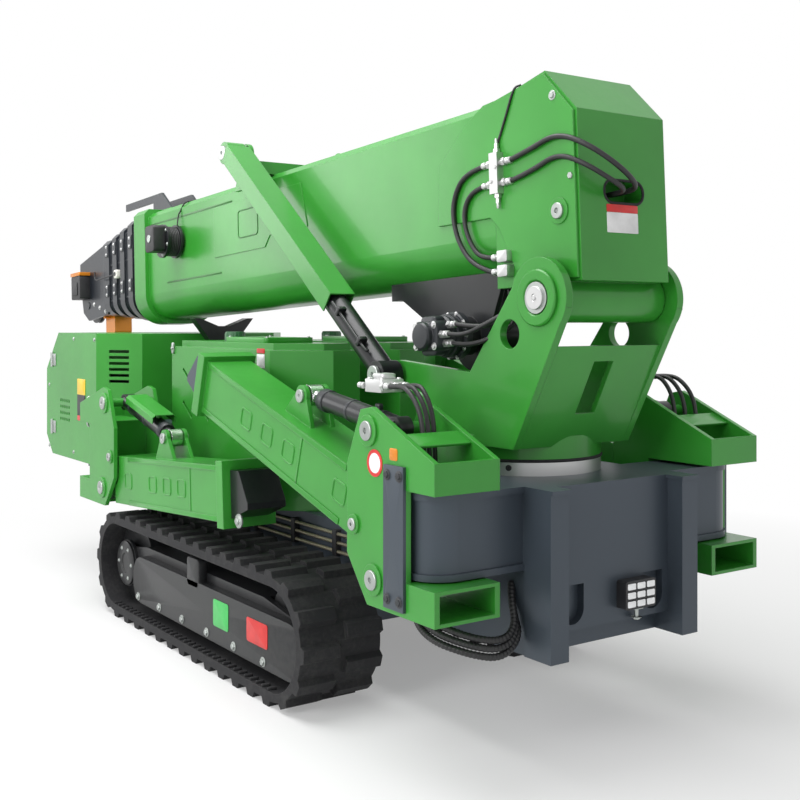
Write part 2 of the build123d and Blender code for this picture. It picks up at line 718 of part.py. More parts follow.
# Turret
def turret():
    """Two leaning side plates on the slewing half of the ring, with the cylinders' arms."""
    body = rod_z(SLEW_X, 0, RING_R, RING_SPLIT + RING_GAP, TURRET_BASE)
    body -= rod_z(SLEW_X, 0, RING_BORE, RING_SPLIT + RING_GAP, RING_TOP)
    side = [
        (TURRET_BASE_REAR, RING_TOP),
        (TURRET_BASE_FRONT, RING_TOP),
        (PIN_X + TURRET_LUG_R * 0.98, PIN_Z - TURRET_LUG_R / 4),
        (PIN_X, PIN_Z),
        (PIN_X - TURRET_LUG_R * 0.92, PIN_Z + TURRET_LUG_R / 3),
    ]
    arm = [
        (TURRET_BASE_REAR + 2 * LUFF_EYE_R, RING_TOP),
        (TURRET_BASE_REAR + 6 * LUFF_EYE_R, TURRET_BASE + 4 * LUFF_EYE_R),
        (LUFF_FOOT_X, LUFF_FOOT_Z + LUFF_EYE_R),
        (LUFF_FOOT_X, LUFF_FOOT_Z - LUFF_EYE_R),
    ]
    inner = TURRET_OUT_Y - TURRET_PLATE
    cheek_plate = plate_xz(side, -TURRET_OUT_Y, -inner)
    cheek_plate += rod_y(PIN_X, PIN_Z, TURRET_LUG_R, -TURRET_OUT_Y, -inner)
    cheek_plate += plate_xz(arm, -TURRET_OUT_Y, -inner)
    cheek_plate += rod_y(LUFF_FOOT_X, LUFF_FOOT_Z, LUFF_EYE_R, -TURRET_OUT_Y, -inner)
    cheek_plate -= rod_y(PIN_X, PIN_Z, FOOT_PIN_R + RUN / 3, -TURRET_OUT_Y, -inner)
    cheek_plate -= rod_y(TURRET_HOLE_X, TURRET_HOLE_Z, TURRET_HOLE_R, -TURRET_OUT_Y, -inner)
    cheek_plate += rod_y(LUFF_FOOT_X, LUFF_FOOT_Z, LUFF_PIN_R, -LUFF_Y - LUFF_EYE_HALF - SAFE, -inner)
    body += [cheek_plate, left_of(cheek_plate)]
    lean = (PIN_X + TURRET_LUG_R - TURRET_BASE_FRONT) / (PIN_Z - RING_TOP)
    top_x = TURRET_BASE_FRONT + lean * (TURRET_BACK_TOP - RING_TOP)
    back = [
        (TURRET_BASE_FRONT - TURRET_BACK_PLATE, RING_TOP),
        (TURRET_BASE_FRONT, RING_TOP),
        (top_x, TURRET_BACK_TOP),
        (top_x - TURRET_BACK_PLATE, TURRET_BACK_TOP),
    ]
    back_plate = plate_xz(back, -inner - 1, inner + 1)
    middle_z = (RING_TOP + TURRET_BACK_TOP) / 2 + TURRET_WINDOW / 3
    window = block((TURRET_BASE_FRONT - TURRET_WINDOW, top_x + TURRET_WINDOW), (-TURRET_WINDOW / 2, TURRET_WINDOW / 2),
                   (middle_z - TURRET_WINDOW, middle_z + TURRET_WINDOW))
    floor = block((TURRET_BASE_REAR, TURRET_BASE_FRONT), (-TURRET_OUT_Y, TURRET_OUT_Y), (RING_TOP, TURRET_BASE))
    return body + floor + (back_plate - window)


def boom_foot_pin():
    """Pin through the turret's plates and the boom's foot tube."""
    reach = TURRET_OUT_Y + PIN_HEAD
    pin = rod_y(PIN_X, PIN_Z, FOOT_PIN_R, -reach, reach)
    for side in (-1, 1):
        faces = sorted((side * (TURRET_OUT_Y + RUN), side * reach))
        pin += rod_y(PIN_X, PIN_Z, FOOT_PIN_R * 1.3, *faces)
    return pin


# Boom, drawn level with the foot pin at the origin and the tip towards -X
def boom_outline(inset):
    """Cross-section of a boom tube: chamfered top, round bottom."""
    width = 2 * (BOOM_HALF_W - inset)
    height = BOOM_TOP - BOOM_LOW - 2 * inset
    outline = Rectangle(width, height)
    outline = fillet(outline.vertices().group_by(Axis.Y)[0], BOOM_ROUND - inset)
    return chamfer(outline.vertices().group_by(Axis.Y)[-1], BOOM_CHAMFER)


def boom_run(inset, start, end):
    """Solid of the boom's cross-section between two places along it."""
    place = Plane(origin=(-start, 0, (BOOM_LOW + BOOM_TOP) / 2), x_dir=(0, -1, 0), z_dir=(-1, 0, 0))
    return extrude(place * boom_outline(inset), amount=end - start)


def boom_base():
    """Outer section with its collar, the cylinders' saddle and the guide rail on top."""
    tube = boom_run(0, BASE_START, BASE_END) + boom_run(-COLLAR_PROUD, BASE_END - COLLAR_LENGTH, BASE_END)
    tube -= boom_run(BOOM_WALL, BASE_START, BASE_END - COLLAR_LENGTH)
    tube -= boom_run(SECTION_STEP - RUN, BASE_END - COLLAR_LENGTH, BASE_END)
    lug_out = LUFF_Y - LUFF_BARREL_R - GUARD_WALL - 2 * SAFE
    saddle_x = (-LUFF_EYE_S - SADDLE_LENGTH / 2, -LUFF_EYE_S + SADDLE_LENGTH / 2)
    tube += block(saddle_x, (-lug_out, lug_out), (BOOM_TOP - 1, BOOM_TOP + SADDLE_HEIGHT))
    lug = plate_xz(
        [
            (saddle_x[0], BOOM_TOP - SADDLE_HEIGHT),
            (saddle_x[1], BOOM_TOP - SADDLE_HEIGHT),
            (-LUFF_EYE_S + LUFF_EYE_R, LUFF_EYE_N),
            (-LUFF_EYE_S - LUFF_EYE_R, LUFF_EYE_N),
        ],
        -lug_out,
        -lug_out + SADDLE_LUG,
    )
    lug += rod_y(-LUFF_EYE_S, LUFF_EYE_N, LUFF_EYE_R, -lug_out, -lug_out + SADDLE_LUG)
    tube += [lug, left_of(lug)]
    rail = plate_xz(
        [
            (-GUIDE_BACK, BOOM_TOP),
            (-GUIDE_BACK - 2 * GUIDE_Y, GUIDE_TOP),
            (-GUIDE_FRONT, GUIDE_TOP),
            (-GUIDE_FRONT, GUIDE_TOP - GUIDE_Y / 2),
            (-BASE_END, GUIDE_TOP - GUIDE_Y / 2),
            (-BASE_END, BOOM_TOP),
        ],
        -GUIDE_Y - GUIDE_PLATE,
        -GUIDE_Y,
    )
    tube += [rail, left_of(rail)]
    return BOOM * tube


def boom_root():
    """Root box with its foot tube and the oblong hose slot."""
    outline = [
        (-ROOT_REAR, ROOT_LOW),
        (-ROOT_REAR, ROOT_REAR_TOP),
        (-ROOT_PEAK_S, ROOT_PEAK),
        (-ROOT_SHOULDER, BOOM_TOP),
        (-BASE_START, BOOM_TOP),
        (-BASE_START, ROOT_LOW),
    ]
    box = plate_xz(outline, -BOOM_HALF_W, BOOM_HALF_W)
    inner = TURRET_OUT_Y - TURRET_PLATE - SAFE
    box += rod_y(0, 0, FOOT_TUBE_R, -inner, inner)
    box -= rod_y(0, 0, FOOT_PIN_R + RUN, -inner, inner)
    half = (HOSE_SLOT_WIDTH - HOSE_SLOT_HEIGHT) / 2
    depth = (-ROOT_REAR - HOSE_SLOT_DEPTH, -ROOT_REAR)
    slot = block(depth, (-half, half), (HOSE_SLOT_N - HOSE_SLOT_HEIGHT / 2, HOSE_SLOT_N + HOSE_SLOT_HEIGHT / 2))
    for side in (-1, 1):
        slot += rod_x(*depth, side * half, HOSE_SLOT_N, HOSE_SLOT_HEIGHT / 2)
    return BOOM * (box - slot)


def winch_frame():
    """Two hanger plates under the boom root, with a hydraulic motor on one side."""
    outline = [
        (-BASE_START - SAFE, BOOM_LOW + BOOM_ROUND / 2),
        (-WINCH_FRONT, BOOM_LOW + BOOM_ROUND / 2),
        (-WINCH_FRONT, BOOM_LOW),
        (-DRUM_S - DRUM_R, DRUM_N - DRUM_AXLE_R),
        (-DRUM_S + DRUM_R, DRUM_N - DRUM_AXLE_R),
    ]
    hanger = plate_xz(outline, -WINCH_HALF, -WINCH_HALF + WINCH_PLATE)
    frame = hanger + left_of(hanger)
    inside = boom_run(-RUN, BASE_START, WINCH_FRONT + SAFE)
    frame -= inside
    brace_z = (BOOM_LOW - 2 * WINCH_PLATE, BOOM_LOW - RUN)
    frame += block((-WINCH_FRONT, -WINCH_FRONT + 3 * WINCH_PLATE), (-WINCH_HALF, WINCH_HALF), brace_z)
    frame += rod_y(-DRUM_S, DRUM_N, DRUM_AXLE_R, -WINCH_HALF, WINCH_HALF)
    frame += rod_y(-DRUM_S, DRUM_N, MOTOR_R, -WINCH_HALF - MOTOR_LENGTH, -WINCH_HALF)
    frame += rod_y(-DRUM_S, DRUM_N, MOTOR_R * 0.7, WINCH_HALF, WINCH_HALF + MOTOR_LENGTH / 2)
    return BOOM * frame


def winch_drum():
    """Grooved drum between two flanges."""
    drum = rod_y(-DRUM_S, DRUM_N, DRUM_R, -DRUM_HALF + SAFE, DRUM_HALF - SAFE)
    for side in (-1, 1):
        faces = sorted((side * (DRUM_HALF - SAFE), side * (DRUM_HALF - 3 * SAFE)))
        drum += rod_y(-DRUM_S, DRUM_N, DRUM_FLANGE_R, *faces)
    drum -= rod_y(-DRUM_S, DRUM_N, DRUM_AXLE_R + RUN, -DRUM_HALF, DRUM_HALF)
    return BOOM * drum


REEL_BACK = 620.0
REEL_S = BASE_END - REEL_BACK
REEL_N = 520.0
REEL_R = 95.0
REEL_LENGTH = 110.0
REEL_FLANGE = 16.0


def cable_reel():
    """Round cable reel on the right-hand side of the boom."""
    face = -BOOM_HALF_W - RUN
    reel = rod_y(-REEL_S, REEL_N, REEL_R * 0.7, face - REEL_LENGTH, face)
    reel += rod_y(-REEL_S, REEL_N, REEL_R, face - REEL_LENGTH, face - REEL_LENGTH + REEL_FLANGE)
    reel += rod_y(-REEL_S, REEL_N, REEL_R, face - 2 * REEL_FLANGE, face - REEL_FLANGE)
    return BOOM * reel


VALVE_S = 260.0
VALVE_N = 470.0
VALVE_SIZE = (45.0, 40.0, 150.0)


def valve_block():
    """Small valve manifold on the side of the boom root."""
    length, depth, height = VALVE_SIZE
    face = -BOOM_HALF_W - RUN
    valve = block((-VALVE_S - length / 2, -VALVE_S + length / 2), (face - depth, face), (VALVE_N - height / 2, VALVE_N + height / 2))
    for step in (-1, 1):
        valve += rod_x(-VALVE_S - length, -VALVE_S + length, face - depth / 2, VALVE_N + step * height / 4, depth / 4)
    return BOOM * valve


def boom_section(index):
    """One inner section with its collar; index 1 is the widest."""
    inset = index * SECTION_STEP
    end = BASE_END + index * SECTION_EXPOSED
    mouth = end - SECTION_COLLAR
    section = boom_run(inset, SECTION_START, end) + boom_run(inset - SECTION_COLLAR_PROUD, mouth, end)
    section -= boom_run(inset + BOOM_WALL, SECTION_START, mouth)
    section -= boom_run(inset + SECTION_STEP - RUN, mouth, end)
    return BOOM * section


# Head
def boom_head():
    """Two side plates, a base plate on the last section and the sheaves' axle."""
    inset = SECTION_COUNT * SECTION_STEP
    base = boom_run(inset - SECTION_COLLAR_PROUD, HEAD_START_S, HEAD_START_S + 2 * HEAD_PLATE)
    outline = [
        (-HEAD_START_S - HEAD_PLATE, BOOM_LOW + inset),
        (-SHEAVE_S, HEAD_LOW),
        (-HEAD_TIP + SHEAVE_R / 2, HEAD_LOW + SHEAVE_R / 2),
        (-HEAD_TIP, HEAD_TOP - SHEAVE_R),
        (-HEAD_TIP, HEAD_TOP),
        (-HEAD_START_S - HEAD_PLATE, BOOM_TOP - inset),
    ]
    cheek_plate = plate_xz(outline, -HEAD_PLATE_Y - HEAD_PLATE, -HEAD_PLATE_Y)
    head = base + [cheek_plate, left_of(cheek_plate)]
    reach = HEAD_PLATE_Y + HEAD_PLATE + SAFE
    head += rod_y(-SHEAVE_S, SHEAVE_N, SHEAVE_AXLE_R, -reach, reach)
    return BOOM * head


def head_sheaves():
    """Two grooved rope sheaves on the head's axle."""
    sheaves = []
    for side in (-1, 1):
        middle = side * HEAD_PLATE_Y / 2
        wheel = rod_y(-SHEAVE_S, SHEAVE_N, SHEAVE_R, middle - SHEAVE_WIDTH / 2, middle + SHEAVE_WIDTH / 2)
        groove = rod_y(-SHEAVE_S, SHEAVE_N, SHEAVE_R + 1, middle - SHEAVE_WIDTH / 4, middle + SHEAVE_WIDTH / 4)
        groove -= rod_y(-SHEAVE_S, SHEAVE_N, SHEAVE_R - SHEAVE_WIDTH / 2, middle - SHEAVE_WIDTH, middle + SHEAVE_WIDTH)
        wheel -= groove
        wheel -= rod_y(-SHEAVE_S, SHEAVE_N, SHEAVE_AXLE_R + RUN, middle - SHEAVE_WIDTH, middle + SHEAVE_WIDTH)
        sheaves.append(wheel)
    hub = rod_y(-SHEAVE_S, SHEAVE_N, 2 * SHEAVE_AXLE_R, -HEAD_PLATE_Y / 2, HEAD_PLATE_Y / 2)
    hub -= rod_y(-SHEAVE_S, SHEAVE_N, SHEAVE_AXLE_R + RUN, -HEAD_PLATE_Y / 2, HEAD_PLATE_Y / 2)
    return BOOM * (hub + sheaves)


HOOK_BLOCK_R = 85.0
HOOK_BLOCK_HALF = 60.0
HOOK_SHANK_R = 22.0
HOOK_RING_R = 48.0
HOOK_BAR_R = 17.0


def hook_block():
    """Hook block drawn up against the underside of the head."""
    middle_n = HEAD_LOW - HOOK_BLOCK_R
    low = middle_n - HOOK_BLOCK_R
    body = plate_xz(
        [
            (-HOOK_S - HOOK_BLOCK_R, HEAD_LOW + HOOK_BLOCK_R / 3),
            (-HOOK_S - HOOK_BLOCK_R, middle_n),
            (-HOOK_S - HOOK_SHANK_R, low),
            (-HOOK_S + HOOK_SHANK_R, low),
            (-HOOK_S + HOOK_BLOCK_R, middle_n),
            (-HOOK_S + HOOK_BLOCK_R, HEAD_LOW + HOOK_BLOCK_R / 3),
        ],
        -HOOK_BLOCK_HALF,
        HOOK_BLOCK_HALF,
    )
    tie = rod_y(-HOOK_S, HEAD_LOW + HOOK_BLOCK_R / 6, HOOK_SHANK_R / 2, -HEAD_PLATE_Y + RUN, HEAD_PLATE_Y - RUN)
    shank = rod_z(-HOOK_S, 0, HOOK_SHANK_R, low - HOOK_RING_R, low + 1)
    ring_z = low - HOOK_RING_R - HOOK_RING_R / 2
    ring = Pos(-HOOK_S, 0, ring_z) * Rot(90, 0, 0) * Torus(HOOK_RING_R, HOOK_BAR_R)
    mouth = block((-HOOK_S + HOOK_BAR_R, -HOOK_S + 2 * HOOK_RING_R), (-HOOK_RING_R, HOOK_RING_R), (ring_z, ring_z + HOOK_RING_R))
    return BOOM * (body + tie + shank + (ring - mouth))


# Luffing cylinders, drawn along +X from the foot pivot, then leaned into place
LUFF = Pos(LUFF_FOOT_X, 0, LUFF_FOOT_Z) * Rot(0, LUFF_LEAN - 180, 0)


def luff_barrels():
    """Both cylinder barrels with their foot eyes."""
    barrel = rod_x(0, LUFF_BARREL_LENGTH, -LUFF_Y, 0, LUFF_BARREL_R)
    barrel -= rod_x(LUFF_BORE_START, LUFF_BARREL_LENGTH - GLAND, -LUFF_Y, 0, LUFF_BORE_R)
    barrel -= rod_x(LUFF_BORE_START, LUFF_BARREL_LENGTH, -LUFF_Y, 0, LUFF_ROD_R + RUN)
    barrel += rod_y(0, 0, LUFF_EYE_R, -LUFF_Y - LUFF_EYE_HALF, -LUFF_Y + LUFF_EYE_HALF)
    barrel -= rod_y(0, 0, LUFF_PIN_R + RUN, -LUFF_Y - 2 * LUFF_EYE_HALF, -LUFF_Y + 2 * LUFF_EYE_HALF)
    barrel = LUFF * barrel
    return Compound(children=[barrel, left_of(barrel)])


def luff_rods():
    """Both rods with their eyes and the channel guards that ride over the barrels."""
    start = LUFF_LENGTH - LUFF_ROD_LENGTH
    rod = rod_x(start, LUFF_LENGTH, -LUFF_Y, 0, LUFF_ROD_R)
    rod += rod_y(LUFF_LENGTH, 0, LUFF_EYE_R, -LUFF_Y - LUFF_EYE_HALF, -LUFF_Y + LUFF_EYE_HALF)
    rod -= rod_y(LUFF_LENGTH, 0, LUFF_PIN_R, -LUFF_Y - 2 * LUFF_EYE_HALF, -LUFF_Y + 2 * LUFF_EYE_HALF)
    inner = LUFF_BARREL_R + SAFE
    outer = inner + GUARD_WALL
    span = (LUFF_LENGTH - GUARD_LENGTH, LUFF_LENGTH - LUFF_EYE_R / 2)
    guard = block(span, (-LUFF_Y - outer, -LUFF_Y + outer), (-outer, GUARD_SKIRT))
    guard -= block(span, (-LUFF_Y - inner, -LUFF_Y + inner), (-inner, GUARD_SKIRT))
    head_x = (LUFF_BARREL_LENGTH + 2 * SAFE, LUFF_BARREL_LENGTH + 6 * SAFE)
    head = block(head_x, (-LUFF_Y - inner - 1, -LUFF_Y + inner + 1), (-inner - 1, GUARD_SKIRT))
    rod = LUFF * (rod + guard + head)
    return Compound(children=[rod, left_of(rod)])


# Outriggers, drawn with u along +X, v along +Y and the kingpin on the Z axis
ARM_V = (PLATE_OUT_V - PLATE + PLATE_IN_V + PLATE) / 2


def place_outrigger(solid, end, side):
    """Carry a piece from the outrigger's own frame to its corner of the machine."""
    if end.heading < 0:
        solid = mirror(solid, about=Plane.YZ)
    if side < 0:
        solid = mirror(solid, about=Plane.XZ)
    return Pos(end.king_x, side * KING_Y, 0) * solid


def bracket(end):
    """C-shaped swivel weldment around a cheek, with its kingpin and both pins."""
    lug_top = end.cyl_pin_z + CYL_LUG_R
    upper_front = UPPER_FRONT_TOP
    outer = [
        (BRACKET_FRONT_U, BRACKET_LOW),
        (ARM_PIN_U + ARM_LUG_R * 0.9, BRACKET_LOW),
        (ARM_PIN_U + ARM_LUG_R * 2, ARM_PIN_Z - ARM_LUG_R * 0.8),
        (BRACKET_EDGE_U, ARM_PIN_Z + ARM_LUG_R * 1.6),
        (BRACKET_EDGE_U, end.cyl_pin_z - CYL_LUG_R * 1.5),
        (CYL_PIN_U + CYL_LUG_R, end.cyl_pin_z),
        (CYL_PIN_U + CYL_LUG_R * 0.6, lug_top - CYL_LUG_R * 0.15),
        (CYL_PIN_U - CYL_LUG_R * 0.2, lug_top),
        (BRACKET_FRONT_U, upper_front),
        (BRACKET_FRONT_U, UPPER_LOW),
        (BRACKET_NOTCH_U, UPPER_LOW),
        (BRACKET_NOTCH_U, TUBE_TOP),
        (BRACKET_FRONT_U, TUBE_TOP),
    ]
    inner = [(max(u, BRACKET_WEB_U), z) if u == BRACKET_NOTCH_U else (u, z) for u, z in outer]
    body = plate_xz(outer, PLATE_OUT_V - PLATE, PLATE_OUT_V)
    body += plate_xz(inner, PLATE_IN_V, PLATE_IN_V + PLATE)
    between = (PLATE_IN_V, PLATE_OUT_V)
    body += block((BRACKET_FRONT_U, BRACKET_WEB_U + PLATE), between, (UPPER_LOW, UPPER_LOW + PLATE))
    body += block((BRACKET_FRONT_U, BRACKET_FRONT_U + PLATE), between, (UPPER_LOW, upper_front))
    web_low = ARM_PIN_Z + ARM_LUG_R + 2 * SAFE
    body += block((BRACKET_WEB_U, BRACKET_WEB_U + PLATE), between, (web_low, UPPER_LOW + PLATE))
    tube_u = (BRACKET_FRONT_U, TUBE_END_U)
    body += block(tube_u, between, (BRACKET_LOW, BRACKET_LOW + TUBE_WALL))
    body += block(tube_u, between, (TUBE_TOP - TUBE_WALL, TUBE_TOP))
    body += rod_z(0, 0, KING_R, TUBE_TOP - 1, UPPER_LOW + 1)
    body += rod_y(ARM_PIN_U, ARM_PIN_Z, ARM_PIN_R, PLATE_IN_V, PLATE_OUT_V)
    body += rod_y(CYL_PIN_U, end.cyl_pin_z, CYL_PIN_R, PLATE_IN_V, PLATE_OUT_V)
    return body


def arm(end):
    """Hollow arm with its root lug, end collar and the cylinder's lug plates."""
    v = (ARM_V - ARM_HALF_W, ARM_V + ARM_HALF_W)
    tube = block((ARM_START, end.length), v, (end.low, end.high))
    grow = ARM_COLLAR_PROUD
    tube += block((end.length - ARM_COLLAR, end.length), (v[0] - grow, v[1] + grow), (end.low - grow, end.high + grow))
    mouth = end.length - ARM_COLLAR
    for span, wall in (((BEAM_START - 2 * SAFE, mouth), ARM_WALL), ((mouth, end.length), ARM_WALL + BEAM_GAP - RUN)):
        tube -= block(span, (v[0] + wall, v[1] - wall), (end.low + wall, end.high - wall))
    lug = plate_xz(
        [
            (0, -ARM_LUG_R),
            (ARM_START + 2 * ARM_LUG_R, min(end.low, -ARM_LUG_R) + 1 if end.low < 0 else end.low + 1),
            (ARM_START + ARM_LUG_R, end.high - ARM_WALL),
            (ARM_LUG_R / 2, ARM_LUG_R * 0.8),
        ],
        ARM_V - ARM_LUG_HALF,
        ARM_V + ARM_LUG_HALF,
    )
    lug += rod_y(0, 0, ARM_LUG_R, ARM_V - ARM_LUG_HALF, ARM_V + ARM_LUG_HALF)
    body = tube + lug
    body -= rod_y(0, 0, ARM_PIN_R + RUN, ARM_V - ARM_HALF_W, ARM_V + ARM_HALF_W)
    for side in (-1, 1):
        faces = sorted((ARM_V + side * (EYE_HALF + LUG_GAP), ARM_V + side * (EYE_HALF + LUG_GAP + LUG_PLATE)))
        ear = plate_xz(
            [
                (end.eye_s - 2.5 * EYE_R, end.high - 1),
                (end.eye_s + 2.5 * EYE_R, end.high - 1),
                (end.eye_s + EYE_R, end.eye_w),
                (end.eye_s - EYE_R, end.eye_w),
            ],
            *faces,
        )
        body += ear + rod_y(end.eye_s, end.eye_w, EYE_R, *faces)
    return body


def beam(end):
    """Inner beam with its foot, whose sole lies level once the arm is lowered."""
    inset = ARM_WALL + BEAM_GAP
    v = (ARM_V - ARM_HALF_W + inset, ARM_V + ARM_HALF_W - inset)
    low = end.low + inset
    high = end.high - inset
    body = block((BEAM_START, end.length + SAFE + 1), v, (low, high))
    foot_start = end.length + SAFE
    rise = sin(radians(end.drop - end.pitch)) / cos(radians(end.drop - end.pitch))
    outline = [
        (foot_start, low),
        (foot_start + FOOT_LENGTH, low + rise * FOOT_LENGTH),
        (foot_start + FOOT_LENGTH, low + rise * FOOT_LENGTH + FOOT_PAD),
        (foot_start + FOOT_LENGTH / 2, high),
        (foot_start, high),
    ]
    return body + plate_xz(outline, v[0] - SAFE, v[1] + SAFE)


def cylinder_barrel(end):
    """Barrel of the arm's cylinder, on the bracket's upper pin, drawn along +X."""
    length, _ = end.cylinder(end.pitch)
    barrel = rod_x(0, length - 2 * EYE_R, ARM_V, 0, CYL_R)
    barrel -= rod_x(2 * EYE_R, length - 2 * EYE_R - GLAND, ARM_V, 0, CYL_BORE_R)
    barrel -= rod_x(2 * EYE_R, length - 2 * EYE_R, ARM_V, 0, CYL_ROD_R + RUN)
    barrel += rod_y(0, 0, EYE_R, ARM_V - EYE_HALF, ARM_V + EYE_HALF)
    return barrel - rod_y(0, 0, CYL_PIN_R + RUN, ARM_V - 2 * EYE_HALF, ARM_V + 2 * EYE_HALF)


def cylinder_rod(end):
    """Rod of the arm's cylinder with its eye, drawn along +X."""
    length, _ = end.cylinder(end.pitch)
    rod = rod_x(2 * EYE_R + SAFE, length, ARM_V, 0, CYL_ROD_R)
    rod += rod_y(length, 0, EYE_R, ARM_V - EYE_HALF, ARM_V + EYE_HALF)
    return rod - rod_y(length, 0, CYL_PIN_R, ARM_V - 2 * EYE_HALF, ARM_V + 2 * EYE_HALF)


def outrigger_pieces(end):
    """All pieces of one outrigger in its own frame."""
    _, slope = end.cylinder(end.pitch)
    on_arm = Pos(ARM_PIN_U, 0, ARM_PIN_Z) * Rot(0, -end.pitch, 0)
    on_pin = Pos(CYL_PIN_U, 0, end.cyl_pin_z) * Rot(0, -slope, 0)
    return {
        "bracket": bracket(end),
        "arm": on_arm * arm(end),
        "beam": on_arm * beam(end),
        "cylinder_barrel": on_pin * cylinder_barrel(end),
        "cylinder_rod": on_pin * cylinder_rod(end),
    }


def all_nodes():
    """Every piece of the crane by its name."""
    nodes = {
        "chassis_frame": chassis_frame(),
        "engine_hood": engine_hood(),
        "engine_block": engine_block(),
        "boom_rest": boom_rest(),
        "slew_ring": slew_ring(),
        "work_lamp": work_lamp(),
        "turret": turret(),
        "boom_foot_pin": boom_foot_pin(),
        "boom_base": boom_base(),
        "boom_root": boom_root(),
        "winch_frame": winch_frame(),
        "winch_drum": winch_drum(),
        "cable_reel": cable_reel(),
        "valve_block": valve_block(),
        "boom_head": boom_head(),
        "head_sheaves": head_sheaves(),
        "hook_block": hook_block(),
        "luff_barrels": luff_barrels(),
        "luff_rods": luff_rods(),
    }
    for index in range(1, SECTION_COUNT + 1):
        nodes[f"boom_section_{index + 1}"] = boom_section(index)
    pairs = {
        "track_frame": track_frame(),
        "track_belt": track_belt(),
        "track_wheels": track_wheels(),
        "side_tank": side_tank(),
    }
    for name, solid in pairs.items():
        nodes[f"{name}_right"] = solid
        nodes[f"{name}_left"] = left_of(solid)
    for end_name, end in (("front", FRONT), ("rear", REAR)):
        for piece, solid in outrigger_pieces(end).items():
            nodes[f"{piece}_{end_name}_right"] = place_outrigger(solid, end, -1)
            nodes[f"{piece}_{end_name}_left"] = place_outrigger(solid, end, 1)
    return nodes


os.makedirs("parts", exist_ok=True)
for node, solid in all_nodes().items():
    export_step(solid, f"parts/{node}.step")
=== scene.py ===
"""Looks of a compact crawler crane with folded outriggers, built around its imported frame.

Metres, +X towards the slew end, +Z up, -Y the right-hand side that the camera sees.
"""
from __future__ import annotations

import json
import logging
import math
from dataclasses import dataclass
from enum import Enum
from typing import Iterable, Sequence, Union

import bmesh
import bpy
import numpy as np
from mathutils import Matrix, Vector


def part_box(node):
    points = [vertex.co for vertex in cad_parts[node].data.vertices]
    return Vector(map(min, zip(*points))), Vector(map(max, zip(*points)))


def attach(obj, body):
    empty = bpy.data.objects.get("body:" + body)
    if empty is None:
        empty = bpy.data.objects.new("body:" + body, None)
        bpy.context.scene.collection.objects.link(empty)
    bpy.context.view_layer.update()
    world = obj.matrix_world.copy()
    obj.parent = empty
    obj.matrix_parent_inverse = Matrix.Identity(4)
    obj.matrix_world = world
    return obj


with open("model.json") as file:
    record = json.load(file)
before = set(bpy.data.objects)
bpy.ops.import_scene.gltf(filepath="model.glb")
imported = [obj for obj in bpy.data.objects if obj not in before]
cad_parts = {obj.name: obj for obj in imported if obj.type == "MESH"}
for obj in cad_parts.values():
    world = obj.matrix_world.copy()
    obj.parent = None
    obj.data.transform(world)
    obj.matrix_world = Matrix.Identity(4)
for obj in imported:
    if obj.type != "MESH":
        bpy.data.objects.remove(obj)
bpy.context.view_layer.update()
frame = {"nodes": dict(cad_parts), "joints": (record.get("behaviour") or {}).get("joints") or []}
LOG = logging.getLogger("crane")

Array = np.ndarray
Point = Sequence[float]
Colour = tuple[float, float, float]


class Side(Enum):
    """Right or left of the machine, with the sign of its Y."""

    RIGHT = -1
    LEFT = 1

    @property
    def tag(self) -> str:
        """Name of the side as the nodes spell it."""
        return self.name.lower()


class End(Enum):
    """Slew end or engine end, with the heading of its folded outrigger."""

    FRONT = -1
    REAR = 1

    @property
    def tag(self) -> str:
        """Name of the end as the nodes spell it."""
        return self.name.lower()


def joint_place(name: str) -> Array:
    """Place of a hinge's axis in the row frame.

    Args:
        name: The joint's name in the record.

    Returns:
        The point as an array of three metres.
    """
    found = next(joint for joint in frame["joints"] if joint["name"] == name)
    return np.array(found["pos_m"], float)


def node_box(name: str) -> tuple[Array, Array]:
    """Lowest and highest corner of a CAD node.

    Args:
        name: The node's name.

    Returns:
        Both corners as arrays.
    """
    low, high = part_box(name)
    return np.array(low), np.array(high)


@dataclass(frozen=True)
class BoomPlace:
    """Places on the stowed boom: s from the foot pin to the tip, y across, n square to both."""

    tilt: float = math.radians(2.65)

    def point(self, s: float, y: float, n: float) -> Array:
        """Point of the row frame."""
        pin = joint_place("boom_luff")
        return np.array((pin[0], y, pin[2])) + s * self.along + n * self.square

    @property
    def along(self) -> Array:
        """Direction from the foot pin to the tip."""
        return np.array((-math.cos(self.tilt), 0.0, -math.sin(self.tilt)))

    @property
    def square(self) -> Array:
        """Direction square to the boom, upwards."""
        return np.array((-math.sin(self.tilt), 0.0, math.cos(self.tilt)))

    def frame(self, s: float, y: float, n: float, normal: Point = (0.0, -1.0, 0.0)) -> Array:
        """Matrix of a piece that stands on the boom's side."""
        return basis(self.point(s, y, n), normal, self.square)


BOOM = BoomPlace()


